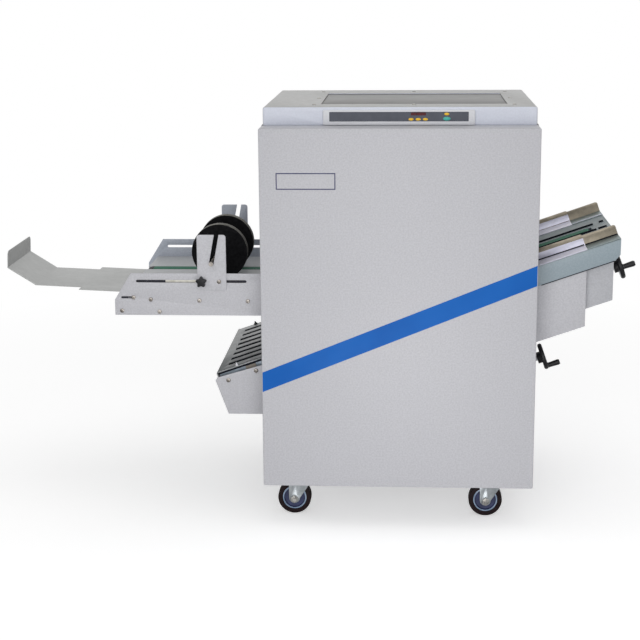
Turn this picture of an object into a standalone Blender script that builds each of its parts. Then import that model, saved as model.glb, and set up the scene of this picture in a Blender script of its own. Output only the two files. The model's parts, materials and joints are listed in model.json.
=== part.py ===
# Floor-standing booklet maker: sheets are jogged on the infeed table at the right, stapled
# through the spine, folded by a knife between two rollers and carried out under two press
# discs at the left. Metres, +Z up, +X towards the infeed table, -Y is the front.
from math import atan2, cos, pi, radians, sin, tan

import bmesh
import bpy
from mathutils import Matrix, Vector

# Driving dimensions
CABINET_WIDTH = 0.600
CABINET_DEPTH = 0.629
MACHINE_HEIGHT = 0.9355
LID_RISE = 0.0394
COVER_BOTTOM = 0.0976
PAN_DEPTH = 0.0734
FRAME_RISE = 0.0074
BED_HEIGHT = 0.4759
BED_SLOPE_ANGLE = radians(19.2)
BELT_RISE = 0.0451
SIDE_MARGIN = 0.0166
TONGUE_OUT = 0.614
WHEEL_RADIUS = 0.0381

# Stock and clearances
GAP = 0.0003
OVERRUN = 0.004
SHEET = 0.0015
PLATE = 0.002
SHAFT_CLEAR = 0.0015

BED_COS = cos(BED_SLOPE_ANGLE)
BED_SIN = sin(BED_SLOPE_ANGLE)
HALF_WIDTH = CABINET_WIDTH / 2
HALF_DEPTH = CABINET_DEPTH / 2
COVER_TOP = MACHINE_HEIGHT - LID_RISE
FRAME_BOTTOM = COVER_BOTTOM + FRAME_RISE
PAN_RIM = HALF_DEPTH - PAN_DEPTH
SIDE_OUTER = PAN_RIM - SIDE_MARGIN
SIDE_INNER = SIDE_OUTER - PLATE
BELT_TOP = BED_HEIGHT + BELT_RISE
TONGUE_REACH = HALF_WIDTH + TONGUE_OUT
COVER_ALONG = HALF_WIDTH / BED_COS
TURN_STEPS = 40
SMALL_STEPS = 20
ARC_STEPS = 4

for old_object in list(bpy.data.objects):
    bpy.data.objects.remove(old_object, do_unlink=True)

parts = bpy.data.collections.new("folding_and_stapling_machine")
cutters = bpy.data.collections.new("cutters")
bpy.context.scene.collection.children.link(parts)
bpy.context.scene.collection.children.link(cutters)


def material(name, colour, roughness, metallic=0.0):
    made = bpy.data.materials.get(name)
    if made is None:
        made = bpy.data.materials.new(name)
        made.use_nodes = True
        shader = made.node_tree.nodes["Principled BSDF"]
        shader.inputs["Base Color"].default_value = (*colour, 1)
        shader.inputs["Roughness"].default_value = roughness
        shader.inputs["Metallic"].default_value = metallic
    return made


def guide(name, location, tilt=0.0, parent=None):
    """An empty that carries pieces, so that they can be placed in its own axes."""
    empty = bpy.data.objects.new(name, None)
    cutters.objects.link(empty)
    empty.location = location
    empty.rotation_euler = (0, tilt, 0)
    empty.hide_render = True
    empty.parent = parent
    return empty


def place(obj, parent, collection):
    for owner in list(obj.users_collection):
        owner.objects.unlink(obj)
    collection.objects.link(obj)
    obj.parent = parent
    if collection is cutters:
        obj.hide_render = True
        obj.display_type = "WIRE"
    return obj


def finish_mesh(name, mesh, location, parent, collection):
    obj = place(bpy.data.objects.new(name, mesh), parent, collection)
    if location is not None:
        obj.location = location
    return obj


def block(name, low, high, parent=None, collection=None, origin=None):
    """A box between two corners, with its origin at its middle or at a given point."""
    low, high = Vector(low), Vector(high)
    middle = (low + high) / 2 if origin is None else Vector(origin)
    size = high - low
    mesh = bpy.data.meshes.new(name)
    form = bmesh.new()
    bmesh.ops.create_cube(form, size=1)
    bmesh.ops.scale(form, vec=size, verts=form.verts)
    bmesh.ops.translate(form, vec=(low + high) / 2 - middle, verts=form.verts)
    form.to_mesh(mesh)
    form.free()
    return finish_mesh(name, mesh, middle, parent, collection or parts)


def rod(name, radius, start, end, parent=None, collection=None, origin=None, steps=SMALL_STEPS):
    """A round bar between two points."""
    start, end = Vector(start), Vector(end)
    middle = (start + end) / 2 if origin is None else Vector(origin)
    along = end - start
    mesh = bpy.data.meshes.new(name)
    form = bmesh.new()
    bmesh.ops.create_cone(form, cap_ends=True, segments=steps, radius1=radius, radius2=radius,
                          depth=along.length)
    turn = Vector((0, 0, 1)).rotation_difference(along).to_matrix()
    bmesh.ops.rotate(form, matrix=turn, verts=form.verts)
    bmesh.ops.translate(form, vec=(start + end) / 2 - middle, verts=form.verts)
    form.to_mesh(mesh)
    form.free()
    mesh.shade_smooth()
    mesh.set_sharp_from_angle(angle=pi / 6)
    return finish_mesh(name, mesh, middle, parent, collection or parts)


def outline_mesh(name, loops, thickness):
    """A flat outline, with holes where loops lie inside others, given a thickness."""
    curve = bpy.data.curves.new(name, "CURVE")
    curve.dimensions = "2D"
    curve.fill_mode = "BOTH"
    curve.extrude = thickness / 2
    for loop in loops:
        spline = curve.splines.new("POLY")
        spline.points.add(len(loop) - 1)
        for point, (across, up) in zip(spline.points, loop):
            point.co = (across, up, 0, 1)
        spline.use_cyclic_u = True
    carrier = bpy.data.objects.new(name, curve)
    bpy.context.scene.collection.objects.link(carrier)
    bpy.context.view_layer.update()
    evaluated = carrier.evaluated_get(bpy.context.evaluated_depsgraph_get())
    mesh = bpy.data.meshes.new_from_object(evaluated)
    mesh.name = name
    bpy.data.objects.remove(carrier, do_unlink=True)
    form = bmesh.new()
    form.from_mesh(mesh)
    bmesh.ops.remove_doubles(form, verts=form.verts, dist=GAP / 10)
    bmesh.ops.recalc_face_normals(form, faces=form.faces)
    form.to_mesh(mesh)
    form.free()
    return mesh


def upright(name, loops, y_low, y_high, parent=None, collection=None, origin=(0, 0, 0)):
    """An outline drawn in x and z, running from one depth to the other."""
    mesh = outline_mesh(name, loops, y_high - y_low)
    mesh.transform(Matrix.Rotation(pi / 2, 4, "X"))
    mesh.transform(Matrix.Translation((0, (y_low + y_high) / 2, 0)))
    mesh.transform(Matrix.Translation(-Vector(origin)))
    return finish_mesh(name, mesh, origin, parent, collection or parts)


def flat(name, loops, z_low, z_high, parent=None, collection=None):
    """An outline drawn in x and y, running from one height to the other."""
    mesh = outline_mesh(name, loops, z_high - z_low)
    mesh.transform(Matrix.Translation((0, 0, (z_low + z_high) / 2)))
    return finish_mesh(name, mesh, (0, 0, 0), parent, collection or parts)


def facing(name, loops, x_low, x_high, parent=None, collection=None):
    """An outline drawn in y and z, running along x."""
    mesh = outline_mesh(name, loops, x_high - x_low)
    mesh.transform(Matrix.Rotation(pi / 2, 4, "X"))
    mesh.transform(Matrix.Rotation(pi / 2, 4, "Z"))
    mesh.transform(Matrix.Translation(((x_low + x_high) / 2, 0, 0)))
    return finish_mesh(name, mesh, (0, 0, 0), parent, collection or parts)


def turned(name, profile, location, axis, parent=None, collection=None, steps=TURN_STEPS):
    """A profile of (radius, height) pairs turned about the axis."""
    mesh = bpy.data.meshes.new(name)
    form = bmesh.new()
    corners = [form.verts.new((radius, 0, height)) for radius, height in profile]
    for first, second in zip(corners, corners[1:]):
        form.edges.new((first, second))
    if profile[0][0] > 0:
        form.edges.new((corners[-1], corners[0]))
    form.to_mesh(mesh)
    form.free()
    obj = finish_mesh(name, mesh, location, parent, collection or parts)
    obj.rotation_euler = Vector((0, 0, 1)).rotation_difference(Vector(axis)).to_euler()
    screw = obj.modifiers.new("turned", "SCREW")
    screw.steps = steps
    screw.render_steps = steps
    screw.use_merge_vertices = True
    screw.merge_threshold = GAP / 10
    screw.use_smooth_shade = False
    return obj


def cut(obj, *tools):
    for tool in tools:
        step = obj.modifiers.new("cut", "BOOLEAN")
        step.operation = "DIFFERENCE"
        step.object = tool
    return obj


def unite(obj, *tools):
    for tool in tools:
        step = obj.modifiers.new("joined", "BOOLEAN")
        step.operation = "UNION"
        step.object = tool
    return obj


def rounded(obj, width, segments=2):
    bevel = obj.modifiers.new("rounded", "BEVEL")
    bevel.width = width
    bevel.segments = segments
    bevel.limit_method = "ANGLE"
    return obj


def paint(obj, look):
    obj.data.materials.append(look)
    return obj


def arc(centre_x, centre_z, radius, start_angle, end_angle, steps=ARC_STEPS):
    points = []
    for step in range(steps + 1):
        angle = start_angle + (end_angle - start_angle) * step / steps
        points.append((centre_x + radius * cos(angle), centre_z + radius * sin(angle)))
    return points


def slot_loop(x_low, x_high, z, width):
    """A slot with round ends along x."""
    half = width / 2
    return arc(x_low + half, z, half, pi / 2, 3 * pi / 2) + arc(x_high - half, z, half, -pi / 2, pi / 2)


def rounded_box_loop(low_x, low_z, high_x, high_z, radius):
    return (arc(low_x + radius, low_z + radius, radius, pi, 3 * pi / 2)
            + arc(high_x - radius, low_z + radius, radius, 3 * pi / 2, 2 * pi)
            + arc(high_x - radius, high_z - radius, radius, 0, pi / 2)
            + arc(low_x + radius, high_z - radius, radius, pi / 2, pi))


def bed_level(x):
    return BED_HEIGHT + x * tan(BED_SLOPE_ANGLE)


PAINT = material("cabinet_paint", (0.51, 0.51, 0.54), 0.55)
LID_PAINT = material("lid_paint", (0.46, 0.46, 0.45), 0.5)
PANE = material("smoked_pane", (0.33, 0.32, 0.31), 0.35)
ZINC = material("zinc_plate", (0.55, 0.55, 0.54), 0.35, 0.9)
STEEL = material("steel", (0.5, 0.5, 0.5), 0.35, 1.0)
BRIGHT = material("bright_steel", (0.72, 0.72, 0.74), 0.2, 1.0)
APRON_PAINT = material("apron_paint", (0.29, 0.36, 0.4), 0.45)
BLACK = material("black_plastic", (0.02, 0.02, 0.022), 0.45)
FOAM = material("black_foam", (0.006, 0.006, 0.007), 0.9)
BELT_GREEN = material("belt_green", (0.02, 0.13, 0.08), 0.6)
TYRE = material("tyre_rubber", (0.012, 0.008, 0.009), 0.6)
YELLOW = material("button_yellow", (0.85, 0.55, 0.05), 0.4)
GREEN = material("button_green", (0.05, 0.5, 0.3), 0.4)
ROLLER = material("roller_rubber", (0.08, 0.08, 0.09), 0.7)
MOTOR = material("motor_paint", (0.1, 0.12, 0.15), 0.5)

# The handwheel's sizes come first, because its grip is the right-hand end of the machine
SCREW_RADIUS = 0.0055
HANDWHEEL_RADIUS = 0.030
HANDWHEEL_THICK = 0.010
HANDWHEEL_BOSS_RADIUS = 0.013
HANDWHEEL_BOSS = 0.009
GRIP_RADIUS = 0.0055
GRIP_LENGTH = 0.027
GRIP_OFFSET = 0.0235
UPPER_SCREW_DROP = 0.0675
UPPER_WHEEL_OUT = 0.1799
LOWER_SCREW_DROP = 0.2122
LOWER_WHEEL_OUT = 0.0290
SCREW_INSET = 0.055
UPPER_WHEEL_ALONG = COVER_ALONG + UPPER_WHEEL_OUT
LOWER_WHEEL_ALONG = COVER_ALONG + LOWER_WHEEL_OUT - LOWER_SCREW_DROP * tan(BED_SLOPE_ANGLE)
SCREW_Y = SCREW_INSET - SIDE_OUTER
GRIP_TIP_ALONG = UPPER_WHEEL_ALONG + HANDWHEEL_THICK / 2 + GRIP_LENGTH
WHEEL_REACH = GRIP_TIP_ALONG * BED_COS + (UPPER_SCREW_DROP + GRIP_RADIUS) * BED_SIN

# The cabinet stands so that the whole machine is centred on the origin
machine = guide("machine", ((TONGUE_REACH - WHEEL_REACH) / 2, 0, 0))
bed = guide("bed", (0, 0, BED_HEIGHT), -BED_SLOPE_ANGLE, machine)

# Frame: welded angle with a floor plate, and a pad for each castor
FRAME_WALL = 0.003
FRAME_ANGLE = 0.030
COVER_LAP = 0.020
FRAME_TOP_DROP = 0.0036
CASTOR_INSET_X = 0.0792
CASTOR_INSET_Y = 0.0516
CASTOR_PAD = 0.058
CASTOR_PAD_THICK = 0.004
FRAME_HALF_X = HALF_WIDTH - SHEET - GAP
FRAME_HALF_Y = PAN_RIM + COVER_LAP
CASTOR_X = FRAME_HALF_X - CASTOR_INSET_X
CASTOR_Y = FRAME_HALF_Y - CASTOR_INSET_Y
FRAME_TOP = COVER_TOP - FRAME_TOP_DROP
FRAME_FLOOR = FRAME_BOTTOM + FRAME_WALL


def make_frame():
    frame = block("frame", (-FRAME_HALF_X, -FRAME_HALF_Y, FRAME_BOTTOM),
                  (FRAME_HALF_X, FRAME_HALF_Y, FRAME_TOP), machine)
    inner_x = FRAME_HALF_X - FRAME_WALL
    inner_y = FRAME_HALF_Y - FRAME_WALL
    open_x = FRAME_HALF_X - FRAME_ANGLE
    open_y = FRAME_HALF_Y - FRAME_ANGLE
    low = FRAME_BOTTOM + FRAME_ANGLE
    high = FRAME_TOP - FRAME_ANGLE
    past_x = FRAME_HALF_X + OVERRUN
    past_y = FRAME_HALF_Y + OVERRUN
    cut(frame,
        block("frame_core", (-inner_x, -inner_y, FRAME_FLOOR), (inner_x, inner_y, FRAME_TOP - FRAME_WALL),
              machine, cutters),
        block("frame_front_window", (-open_x, -past_y, low), (open_x, past_y, high), machine, cutters),
        block("frame_side_window", (-past_x, -open_y, low), (past_x, open_y, high), machine, cutters),
        block("frame_top_window", (-open_x, -open_y, high), (open_x, open_y, FRAME_TOP + OVERRUN),
              machine, cutters))
    for side_x in (-1, 1):
        for side_y in (-1, 1):
            centre_x, centre_y = side_x * CASTOR_X, side_y * CASTOR_Y
            unite(frame, block(f"castor_pad_{side_x}_{side_y}",
                               (centre_x - CASTOR_PAD / 2, centre_y - CASTOR_PAD / 2,
                                FRAME_BOTTOM - CASTOR_PAD_THICK),
                               (centre_x + CASTOR_PAD / 2, centre_y + CASTOR_PAD / 2,
                                FRAME_BOTTOM + FRAME_WALL / 2), machine, cutters))
    paint(frame, STEEL)


# Castors: the fork turns under its pad, the wheel turns on the fork's axle
CASTOR_TRAIL = 0.019
WHEEL_WIDTH = 0.026
WHEEL_SIDE_GAP = 0.0015
FORK_SHEET = 0.0025
FORK_FOOT = 0.0125
FORK_BACK = 0.022
FORK_CROWN = 0.008
FORK_CROWN_DROP = 0.0115
SWIVEL_RADIUS = 0.024
AXLE_RADIUS = 0.005
AXLE_NUT_RADIUS = 0.0065
AXLE_NUT = 0.004
TYRE_ROUND = 0.006
RIM_RADIUS = 0.0275
RIM_DISH = 0.004
HUB_RADIUS = 0.010
SWIVEL_TOP = FRAME_BOTTOM - CASTOR_PAD_THICK - GAP
FORK_CROWN_TOP = SWIVEL_TOP - FORK_CROWN_DROP + GAP


def make_castor(place_name, side_x, side_y):
    swivel = guide(f"castor_{place_name}", (side_x * CASTOR_X, side_y * CASTOR_Y, 0), 0, machine)
    leg_inner = WHEEL_WIDTH / 2 + WHEEL_SIDE_GAP
    leg_outer = leg_inner + FORK_SHEET
    crown_low = FORK_CROWN_TOP - FORK_CROWN
    leg = (arc(-CASTOR_TRAIL, WHEEL_RADIUS, FORK_FOOT, pi, 2 * pi, 2 * ARC_STEPS)
           + [(FORK_BACK, crown_low), (FORK_BACK, FORK_CROWN_TOP),
              (-CASTOR_TRAIL - FORK_FOOT, FORK_CROWN_TOP)])
    fork = upright(f"castor_fork_{place_name}", [leg], leg_inner, leg_outer, swivel)
    unite(fork,
          upright(f"fork_leg_{place_name}", [leg], -leg_outer, -leg_inner, swivel, cutters),
          block(f"fork_crown_{place_name}", (-CASTOR_TRAIL - FORK_FOOT + FORK_SHEET, -leg_outer + GAP,
                                             crown_low),
                (FORK_BACK - FORK_SHEET, leg_outer - GAP, FORK_CROWN_TOP - GAP), swivel, cutters),
          rod(f"fork_swivel_{place_name}", SWIVEL_RADIUS, (0, 0, crown_low + FORK_SHEET), (0, 0, SWIVEL_TOP),
              swivel, cutters),
          rod(f"fork_axle_{place_name}", AXLE_RADIUS, (-CASTOR_TRAIL, -leg_outer - AXLE_NUT / 2,
                                                       WHEEL_RADIUS),
              (-CASTOR_TRAIL, leg_outer + AXLE_NUT / 2, WHEEL_RADIUS), swivel, cutters),
          rod(f"fork_nut_{place_name}", AXLE_NUT_RADIUS, (-CASTOR_TRAIL, -leg_outer - AXLE_NUT, WHEEL_RADIUS),
              (-CASTOR_TRAIL, -leg_inner - GAP, WHEEL_RADIUS), swivel, cutters))
    paint(fork, ZINC)
    half = WHEEL_WIDTH / 2
    bore = AXLE_RADIUS + GAP
    profile = [(bore, half), (HUB_RADIUS, half), (HUB_RADIUS, half - RIM_DISH),
               (RIM_RADIUS, half - RIM_DISH), (RIM_RADIUS, half - GAP), (WHEEL_RADIUS - TYRE_ROUND, half)]
    profile += [(WHEEL_RADIUS, half - TYRE_ROUND), (WHEEL_RADIUS, -half + TYRE_ROUND)]
    profile += [(WHEEL_RADIUS - TYRE_ROUND, -half), (RIM_RADIUS, -half + GAP),
                (RIM_RADIUS, -half + RIM_DISH), (HUB_RADIUS, -half + RIM_DISH),
                (HUB_RADIUS, -half), (bore, -half)]
    wheel = turned(f"castor_wheel_{place_name}", profile, (-CASTOR_TRAIL, 0, WHEEL_RADIUS), (0, 1, 0), swivel)
    paint(wheel, TYRE)


# Covers: a deep pan at the front and rear, a flat panel at each side
COVER_ROUND = 0.003
OPENING_SIDE = 0.0025
INFEED_OPENING_LOW = 0.082
INFEED_OPENING_HIGH = 0.042
DELIVERY_PLATE_BELOW = 0.053
DELIVERY_PLATE_ABOVE = 0.043
DELIVERY_OPENING_RISE = 0.040
TRAY_SIDE_BELOW = 0.2379
TRAY_OPENING_RISE = 0.030
INLET_INSET = 0.100
INLET_RISE = 0.0724
INLET_WIDTH = 0.048
INLET_HEIGHT = 0.028
INLET_DEPTH = 0.024
INLET_RIM = 0.005
INLET_PIN = 0.002
INLET_PIN_PITCH = 0.007
DELIVERY_PLATE_BOTTOM = BELT_TOP - DELIVERY_PLATE_BELOW
DELIVERY_PLATE_TOP = BELT_TOP + DELIVERY_PLATE_ABOVE
TRAY_SIDE_BOTTOM = BED_HEIGHT - TRAY_SIDE_BELOW
INLET_X = HALF_WIDTH - INLET_INSET
INLET_Z = COVER_BOTTOM + INLET_RISE


def make_pan(name, side_y):
    front, rim = side_y * HALF_DEPTH, side_y * PAN_RIM
    inner_front = side_y * (HALF_DEPTH - SHEET)
    past_rim = side_y * (PAN_RIM - OVERRUN)
    pan = block(name, (-HALF_WIDTH, min(front, rim), COVER_BOTTOM), (HALF_WIDTH, max(front, rim), COVER_TOP),
                machine)
    rounded(pan, COVER_ROUND)
    cut(pan, block(f"{name}_inside", (-HALF_WIDTH + SHEET, min(inner_front, past_rim), COVER_BOTTOM + SHEET),
                   (HALF_WIDTH - SHEET, max(inner_front, past_rim), COVER_TOP - SHEET), machine, cutters))
    return paint(pan, PAINT)


def make_front_and_rear_covers():
    make_pan("front_cover", -1)
    rear = make_pan("rear_cover", 1)
    low_x, high_x = INLET_X - INLET_WIDTH / 2, INLET_X + INLET_WIDTH / 2
    low_z, high_z = INLET_Z - INLET_HEIGHT / 2, INLET_Z + INLET_HEIGHT / 2
    unite(rear, block("inlet_body", (low_x, HALF_DEPTH - INLET_DEPTH - INLET_RIM, low_z),
                      (high_x, HALF_DEPTH - SHEET / 2, high_z), machine, cutters))
    cut(rear, block("inlet_hollow", (low_x + 2 * INLET_RIM, HALF_DEPTH - INLET_DEPTH, low_z + INLET_RIM),
                    (high_x - 2 * INLET_RIM, HALF_DEPTH + OVERRUN, high_z - INLET_RIM),
                    machine, cutters))
    for step in (-1, 0, 1):
        centre = INLET_X + step * INLET_PIN_PITCH
        unite(rear, block(f"inlet_pin_{step}", (centre - INLET_PIN / 2,
                                                HALF_DEPTH - INLET_DEPTH - INLET_RIM / 2,
                                                INLET_Z - INLET_PIN),
                          (centre + INLET_PIN / 2, HALF_DEPTH - INLET_RIM, INLET_Z + INLET_PIN),
                          machine, cutters))


def make_side_covers():
    edge_y = PAN_RIM - GAP
    opening_y = SIDE_OUTER + OPENING_SIDE
    past = HALF_WIDTH + OVERRUN
    inner = HALF_WIDTH - SHEET
    left = block("left_cover", (-HALF_WIDTH, -edge_y, COVER_BOTTOM), (-inner, edge_y, COVER_TOP), machine)
    delivery_low = DELIVERY_PLATE_BOTTOM - OPENING_SIDE
    delivery_high = DELIVERY_PLATE_TOP + DELIVERY_OPENING_RISE
    tray_high = bed_level(-HALF_WIDTH) + TRAY_OPENING_RISE
    cut(left,
        block("delivery_mouth", (-past, -opening_y, delivery_low),
              (-inner + OVERRUN, opening_y, delivery_high),
              machine, cutters),
        block("tray_mouth", (-past, -opening_y, TRAY_SIDE_BOTTOM - OPENING_SIDE),
              (-inner + OVERRUN, opening_y, tray_high), machine, cutters))
    paint(left, PAINT)
    right = block("right_cover", (inner, -edge_y, COVER_BOTTOM), (HALF_WIDTH, edge_y, COVER_TOP), machine)
    level = bed_level(HALF_WIDTH)
    cut(right,
        block("infeed_mouth", (inner - OVERRUN, -opening_y, level - INFEED_OPENING_LOW),
              (past, opening_y, level + INFEED_OPENING_HIGH), machine, cutters),
        rod("lower_screw_hole", SCREW_RADIUS + SHAFT_CLEAR,
            (LOWER_WHEEL_ALONG - 2 * HANDWHEEL_RADIUS, SCREW_Y, -LOWER_SCREW_DROP),
            (LOWER_WHEEL_ALONG, SCREW_Y, -LOWER_SCREW_DROP), bed, cutters))
    paint(right, PAINT)


# Lid: a shallow pressed top with the pane fixed under its opening and the control bezel in front
LID_INSET = 0.0033
LID_WALL = 0.002
LID_ROUND = 0.005
WINDOW_MARGIN_LEFT = 0.1227
WINDOW_MARGIN_RIGHT = 0.0607
WINDOW_MARGIN_FRONT = 0.0716
WINDOW_MARGIN_REAR = 0.1066
WINDOW_LAP = 0.020
PANE_THICK = 0.003
BEZEL_LEFT = 0.1655
BEZEL_RIGHT = 0.163
BEZEL_RISE = 0.0004
BEZEL_HEIGHT = 0.0325
BEZEL_PROUD = 0.009
BEZEL_ROUND = 0.003
BUTTON_PROUD = 0.0012
BUTTON_TRAVEL = 0.001
BUTTON_LENGTH = 0.005
BUTTON_WIDE = 0.011
BUTTON_HIGH = 0.0056
START_WIDE = 0.0162
START_HIGH = 0.008
MENU_ROW_RISE = 0.013
MENU_X = 0.0405
MENU_PITCH = 0.0154
RUN_X = 0.1018
UPPER_ROW_RISE = 0.0242
START_ROW_RISE = 0.0142
BUTTONS = {
    "button_left": (MENU_X - MENU_PITCH, MENU_ROW_RISE, BUTTON_WIDE, BUTTON_HIGH, YELLOW),
    "button_middle": (MENU_X, MENU_ROW_RISE, BUTTON_WIDE, BUTTON_HIGH, YELLOW),
    "button_right": (MENU_X + MENU_PITCH, MENU_ROW_RISE, BUTTON_WIDE, BUTTON_HIGH, YELLOW),
    "button_upper": (RUN_X, UPPER_ROW_RISE, BUTTON_WIDE, BUTTON_HIGH, YELLOW),
    "button_start": (RUN_X, START_ROW_RISE, START_WIDE, START_HIGH, GREEN),
}
LID_HALF_X = HALF_WIDTH - LID_INSET
WINDOW_LEFT = LID_HALF_X - WINDOW_MARGIN_LEFT
WINDOW_RIGHT = LID_HALF_X - WINDOW_MARGIN_RIGHT
WINDOW_FRONT = PAN_RIM - WINDOW_MARGIN_FRONT
WINDOW_REAR = PAN_RIM - WINDOW_MARGIN_REAR
BEZEL_LOW = COVER_TOP + BEZEL_RISE
BEZEL_HIGH = BEZEL_LOW + BEZEL_HEIGHT


def oval(name, centre, width, height, length, parent, collection):
    """A short oval bar along the depth, its front face at the given centre."""
    obj = rod(name, width / 2, centre, (centre[0], centre[1] + length, centre[2]), parent, collection)
    obj.data.transform(Matrix.Scale(height / width, 4, (0, 0, 1)))
    return obj


def make_lid():
    lid_y = PAN_RIM - GAP
    low = FRAME_TOP + GAP
    lid = block("top_lid", (-LID_HALF_X, -lid_y, low), (LID_HALF_X, lid_y, MACHINE_HEIGHT), machine)
    rounded(lid, LID_ROUND, 3)
    bezel_front = -lid_y - BEZEL_PROUD
    bezel = block("bezel", (-BEZEL_LEFT, bezel_front, BEZEL_LOW),
                  (BEZEL_RIGHT, -lid_y + LID_WALL, BEZEL_HIGH),
                  machine, cutters)
    rounded(bezel, BEZEL_ROUND)
    unite(lid, bezel)
    cut(lid,
        block("lid_inside", (-LID_HALF_X + LID_WALL, -lid_y + LID_WALL, low - OVERRUN),
              (LID_HALF_X - LID_WALL, lid_y - LID_WALL, MACHINE_HEIGHT - LID_WALL), machine, cutters),
        block("lid_opening", (-WINDOW_LEFT, -WINDOW_FRONT, MACHINE_HEIGHT - LID_WALL - OVERRUN),
              (WINDOW_RIGHT, WINDOW_REAR, MACHINE_HEIGHT + OVERRUN), machine, cutters))
    pocket = BUTTON_LENGTH - BUTTON_PROUD + BUTTON_TRAVEL + GAP
    for name, (x, rise, width, height, look) in BUTTONS.items():
        z = BEZEL_LOW + rise
        cut(lid, oval(f"{name}_pocket", (x, bezel_front - OVERRUN, z), width + 2 * GAP, height + 2 * GAP,
                      OVERRUN + pocket, machine, cutters))
        paint(oval(name, (x, bezel_front - BUTTON_PROUD, z), width, height, BUTTON_LENGTH, machine, parts),
              look)
    paint(lid, LID_PAINT)
    pane_top = MACHINE_HEIGHT - LID_WALL - GAP
    paint(block("top_window", (-WINDOW_LEFT - WINDOW_LAP, -WINDOW_FRONT - WINDOW_LAP, pane_top - PANE_THICK),
                (WINDOW_RIGHT + WINDOW_LAP, WINDOW_REAR + WINDOW_LAP, pane_top), machine), PANE)


# Side plates: they carry the bed, the rollers, the stapler and the knife between them
MAIN_PLATE = 0.006
MAIN_PLATE_INSET = 0.038
MAIN_PLATE_TOP_DROP = 0.1061
FOLD_ALONG = -0.130
FOLD_ROLLER_RADIUS = 0.022
FOLD_ROLLER_ABOVE = 0.030
FOLD_NIP = 0.0014
JOURNAL_RADIUS = 0.008
KNIFE_TRAVEL = 0.034
KNIFE_BAR = 0.012
KNIFE_BAR_BELOW = 0.084
STAPLE_ALONG = 0.130
STAPLER_BAR_LENGTH = 0.040
STAPLER_BAR_HEIGHT = 0.030
STAPLER_BAR_ABOVE = 0.085
STAPLER_TRAVEL = 0.012
PLATE_RUN = 0.004
SCREW_LUG = 0.008
SCREW_LUG_HALF = 0.012
LOWER_LUG_LEFT = -0.255
MAIN_PLATE_HALF_X = HALF_WIDTH - MAIN_PLATE_INSET
MAIN_PLATE_TOP = COVER_TOP - MAIN_PLATE_TOP_DROP
LOWER_LUG_RIGHT = LOWER_WHEEL_ALONG - 2 * HANDWHEEL_RADIUS - SCREW_LUG
MAIN_OUTER = SIDE_INNER - GAP
MAIN_INNER = MAIN_OUTER - MAIN_PLATE
CARRIED_HALF = MAIN_INNER - GAP
DRIVE_SHAFT_RADIUS = 0.004
DELIVERY_DRUM_RADIUS = 0.011
BELT_THICK = 0.0012
DELIVERY_LOOP_RADIUS = DELIVERY_DRUM_RADIUS + GAP + BELT_THICK
DELIVERY_AXIS_Z = BELT_TOP - DELIVERY_LOOP_RADIUS
DELIVERY_DRIVE_INSET = 0.060
DELIVERY_DRIVE_X = DELIVERY_DRIVE_INSET - HALF_WIDTH
FOLD_SPREAD = FOLD_ROLLER_RADIUS + FOLD_NIP / 2
PLATE_REACH = MAIN_INNER + PLATE_RUN


def make_side_plates():
    stapler_half = STAPLER_BAR_LENGTH / 2 + GAP
    knife_half = KNIFE_BAR / 2 + GAP
    for name, side_y in (("front_side_plate", -1), ("rear_side_plate", 1)):
        low_y, high_y = sorted((side_y * MAIN_OUTER, side_y * MAIN_INNER))
        plate = block(name, (-MAIN_PLATE_HALF_X, low_y, FRAME_FLOOR + GAP),
                      (MAIN_PLATE_HALF_X, high_y, MAIN_PLATE_TOP), machine)
        past_low, past_high = low_y - OVERRUN, high_y + OVERRUN
        for side, along in (("a", FOLD_ALONG - FOLD_SPREAD), ("b", FOLD_ALONG + FOLD_SPREAD)):
            cut(plate, rod(f"{name}_fold_{side}", JOURNAL_RADIUS + GAP, (along, past_low, FOLD_ROLLER_ABOVE),
                           (along, past_high, FOLD_ROLLER_ABOVE), bed, cutters))
        cut(plate,
            rod(f"{name}_delivery", DRIVE_SHAFT_RADIUS + GAP, (DELIVERY_DRIVE_X, past_low, DELIVERY_AXIS_Z),
                (DELIVERY_DRIVE_X, past_high, DELIVERY_AXIS_Z), machine, cutters),
            block(f"{name}_stapler", (STAPLE_ALONG - stapler_half, past_low,
                                      STAPLER_BAR_ABOVE - STAPLER_TRAVEL - GAP),
                  (STAPLE_ALONG + stapler_half, past_high, STAPLER_BAR_ABOVE + STAPLER_BAR_HEIGHT + GAP),
                  bed, cutters),
            block(f"{name}_knife", (FOLD_ALONG - knife_half, past_low, -KNIFE_BAR_BELOW - GAP),
                  (FOLD_ALONG + knife_half, past_high, KNIFE_TRAVEL + KNIFE_BAR - KNIFE_BAR_BELOW + GAP),
                  bed, cutters))
        if side_y < 0:
            for lug, along in (("right", LOWER_LUG_RIGHT), ("left", LOWER_LUG_LEFT)):
                unite(plate, block(f"lower_lug_{lug}",
                                   (along, -MAIN_INNER - MAIN_PLATE / 2, -LOWER_SCREW_DROP - SCREW_LUG_HALF),
                                   (along + SCREW_LUG, SCREW_Y + SCREW_LUG_HALF,
                                    -LOWER_SCREW_DROP + SCREW_LUG_HALF), bed, cutters))
                cut(plate, rod(f"lower_lug_bore_{lug}", SCREW_RADIUS + GAP,
                               (along - OVERRUN, SCREW_Y, -LOWER_SCREW_DROP),
                               (along + SCREW_LUG + OVERRUN, SCREW_Y, -LOWER_SCREW_DROP), bed, cutters))
        paint(plate, ZINC)


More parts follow.
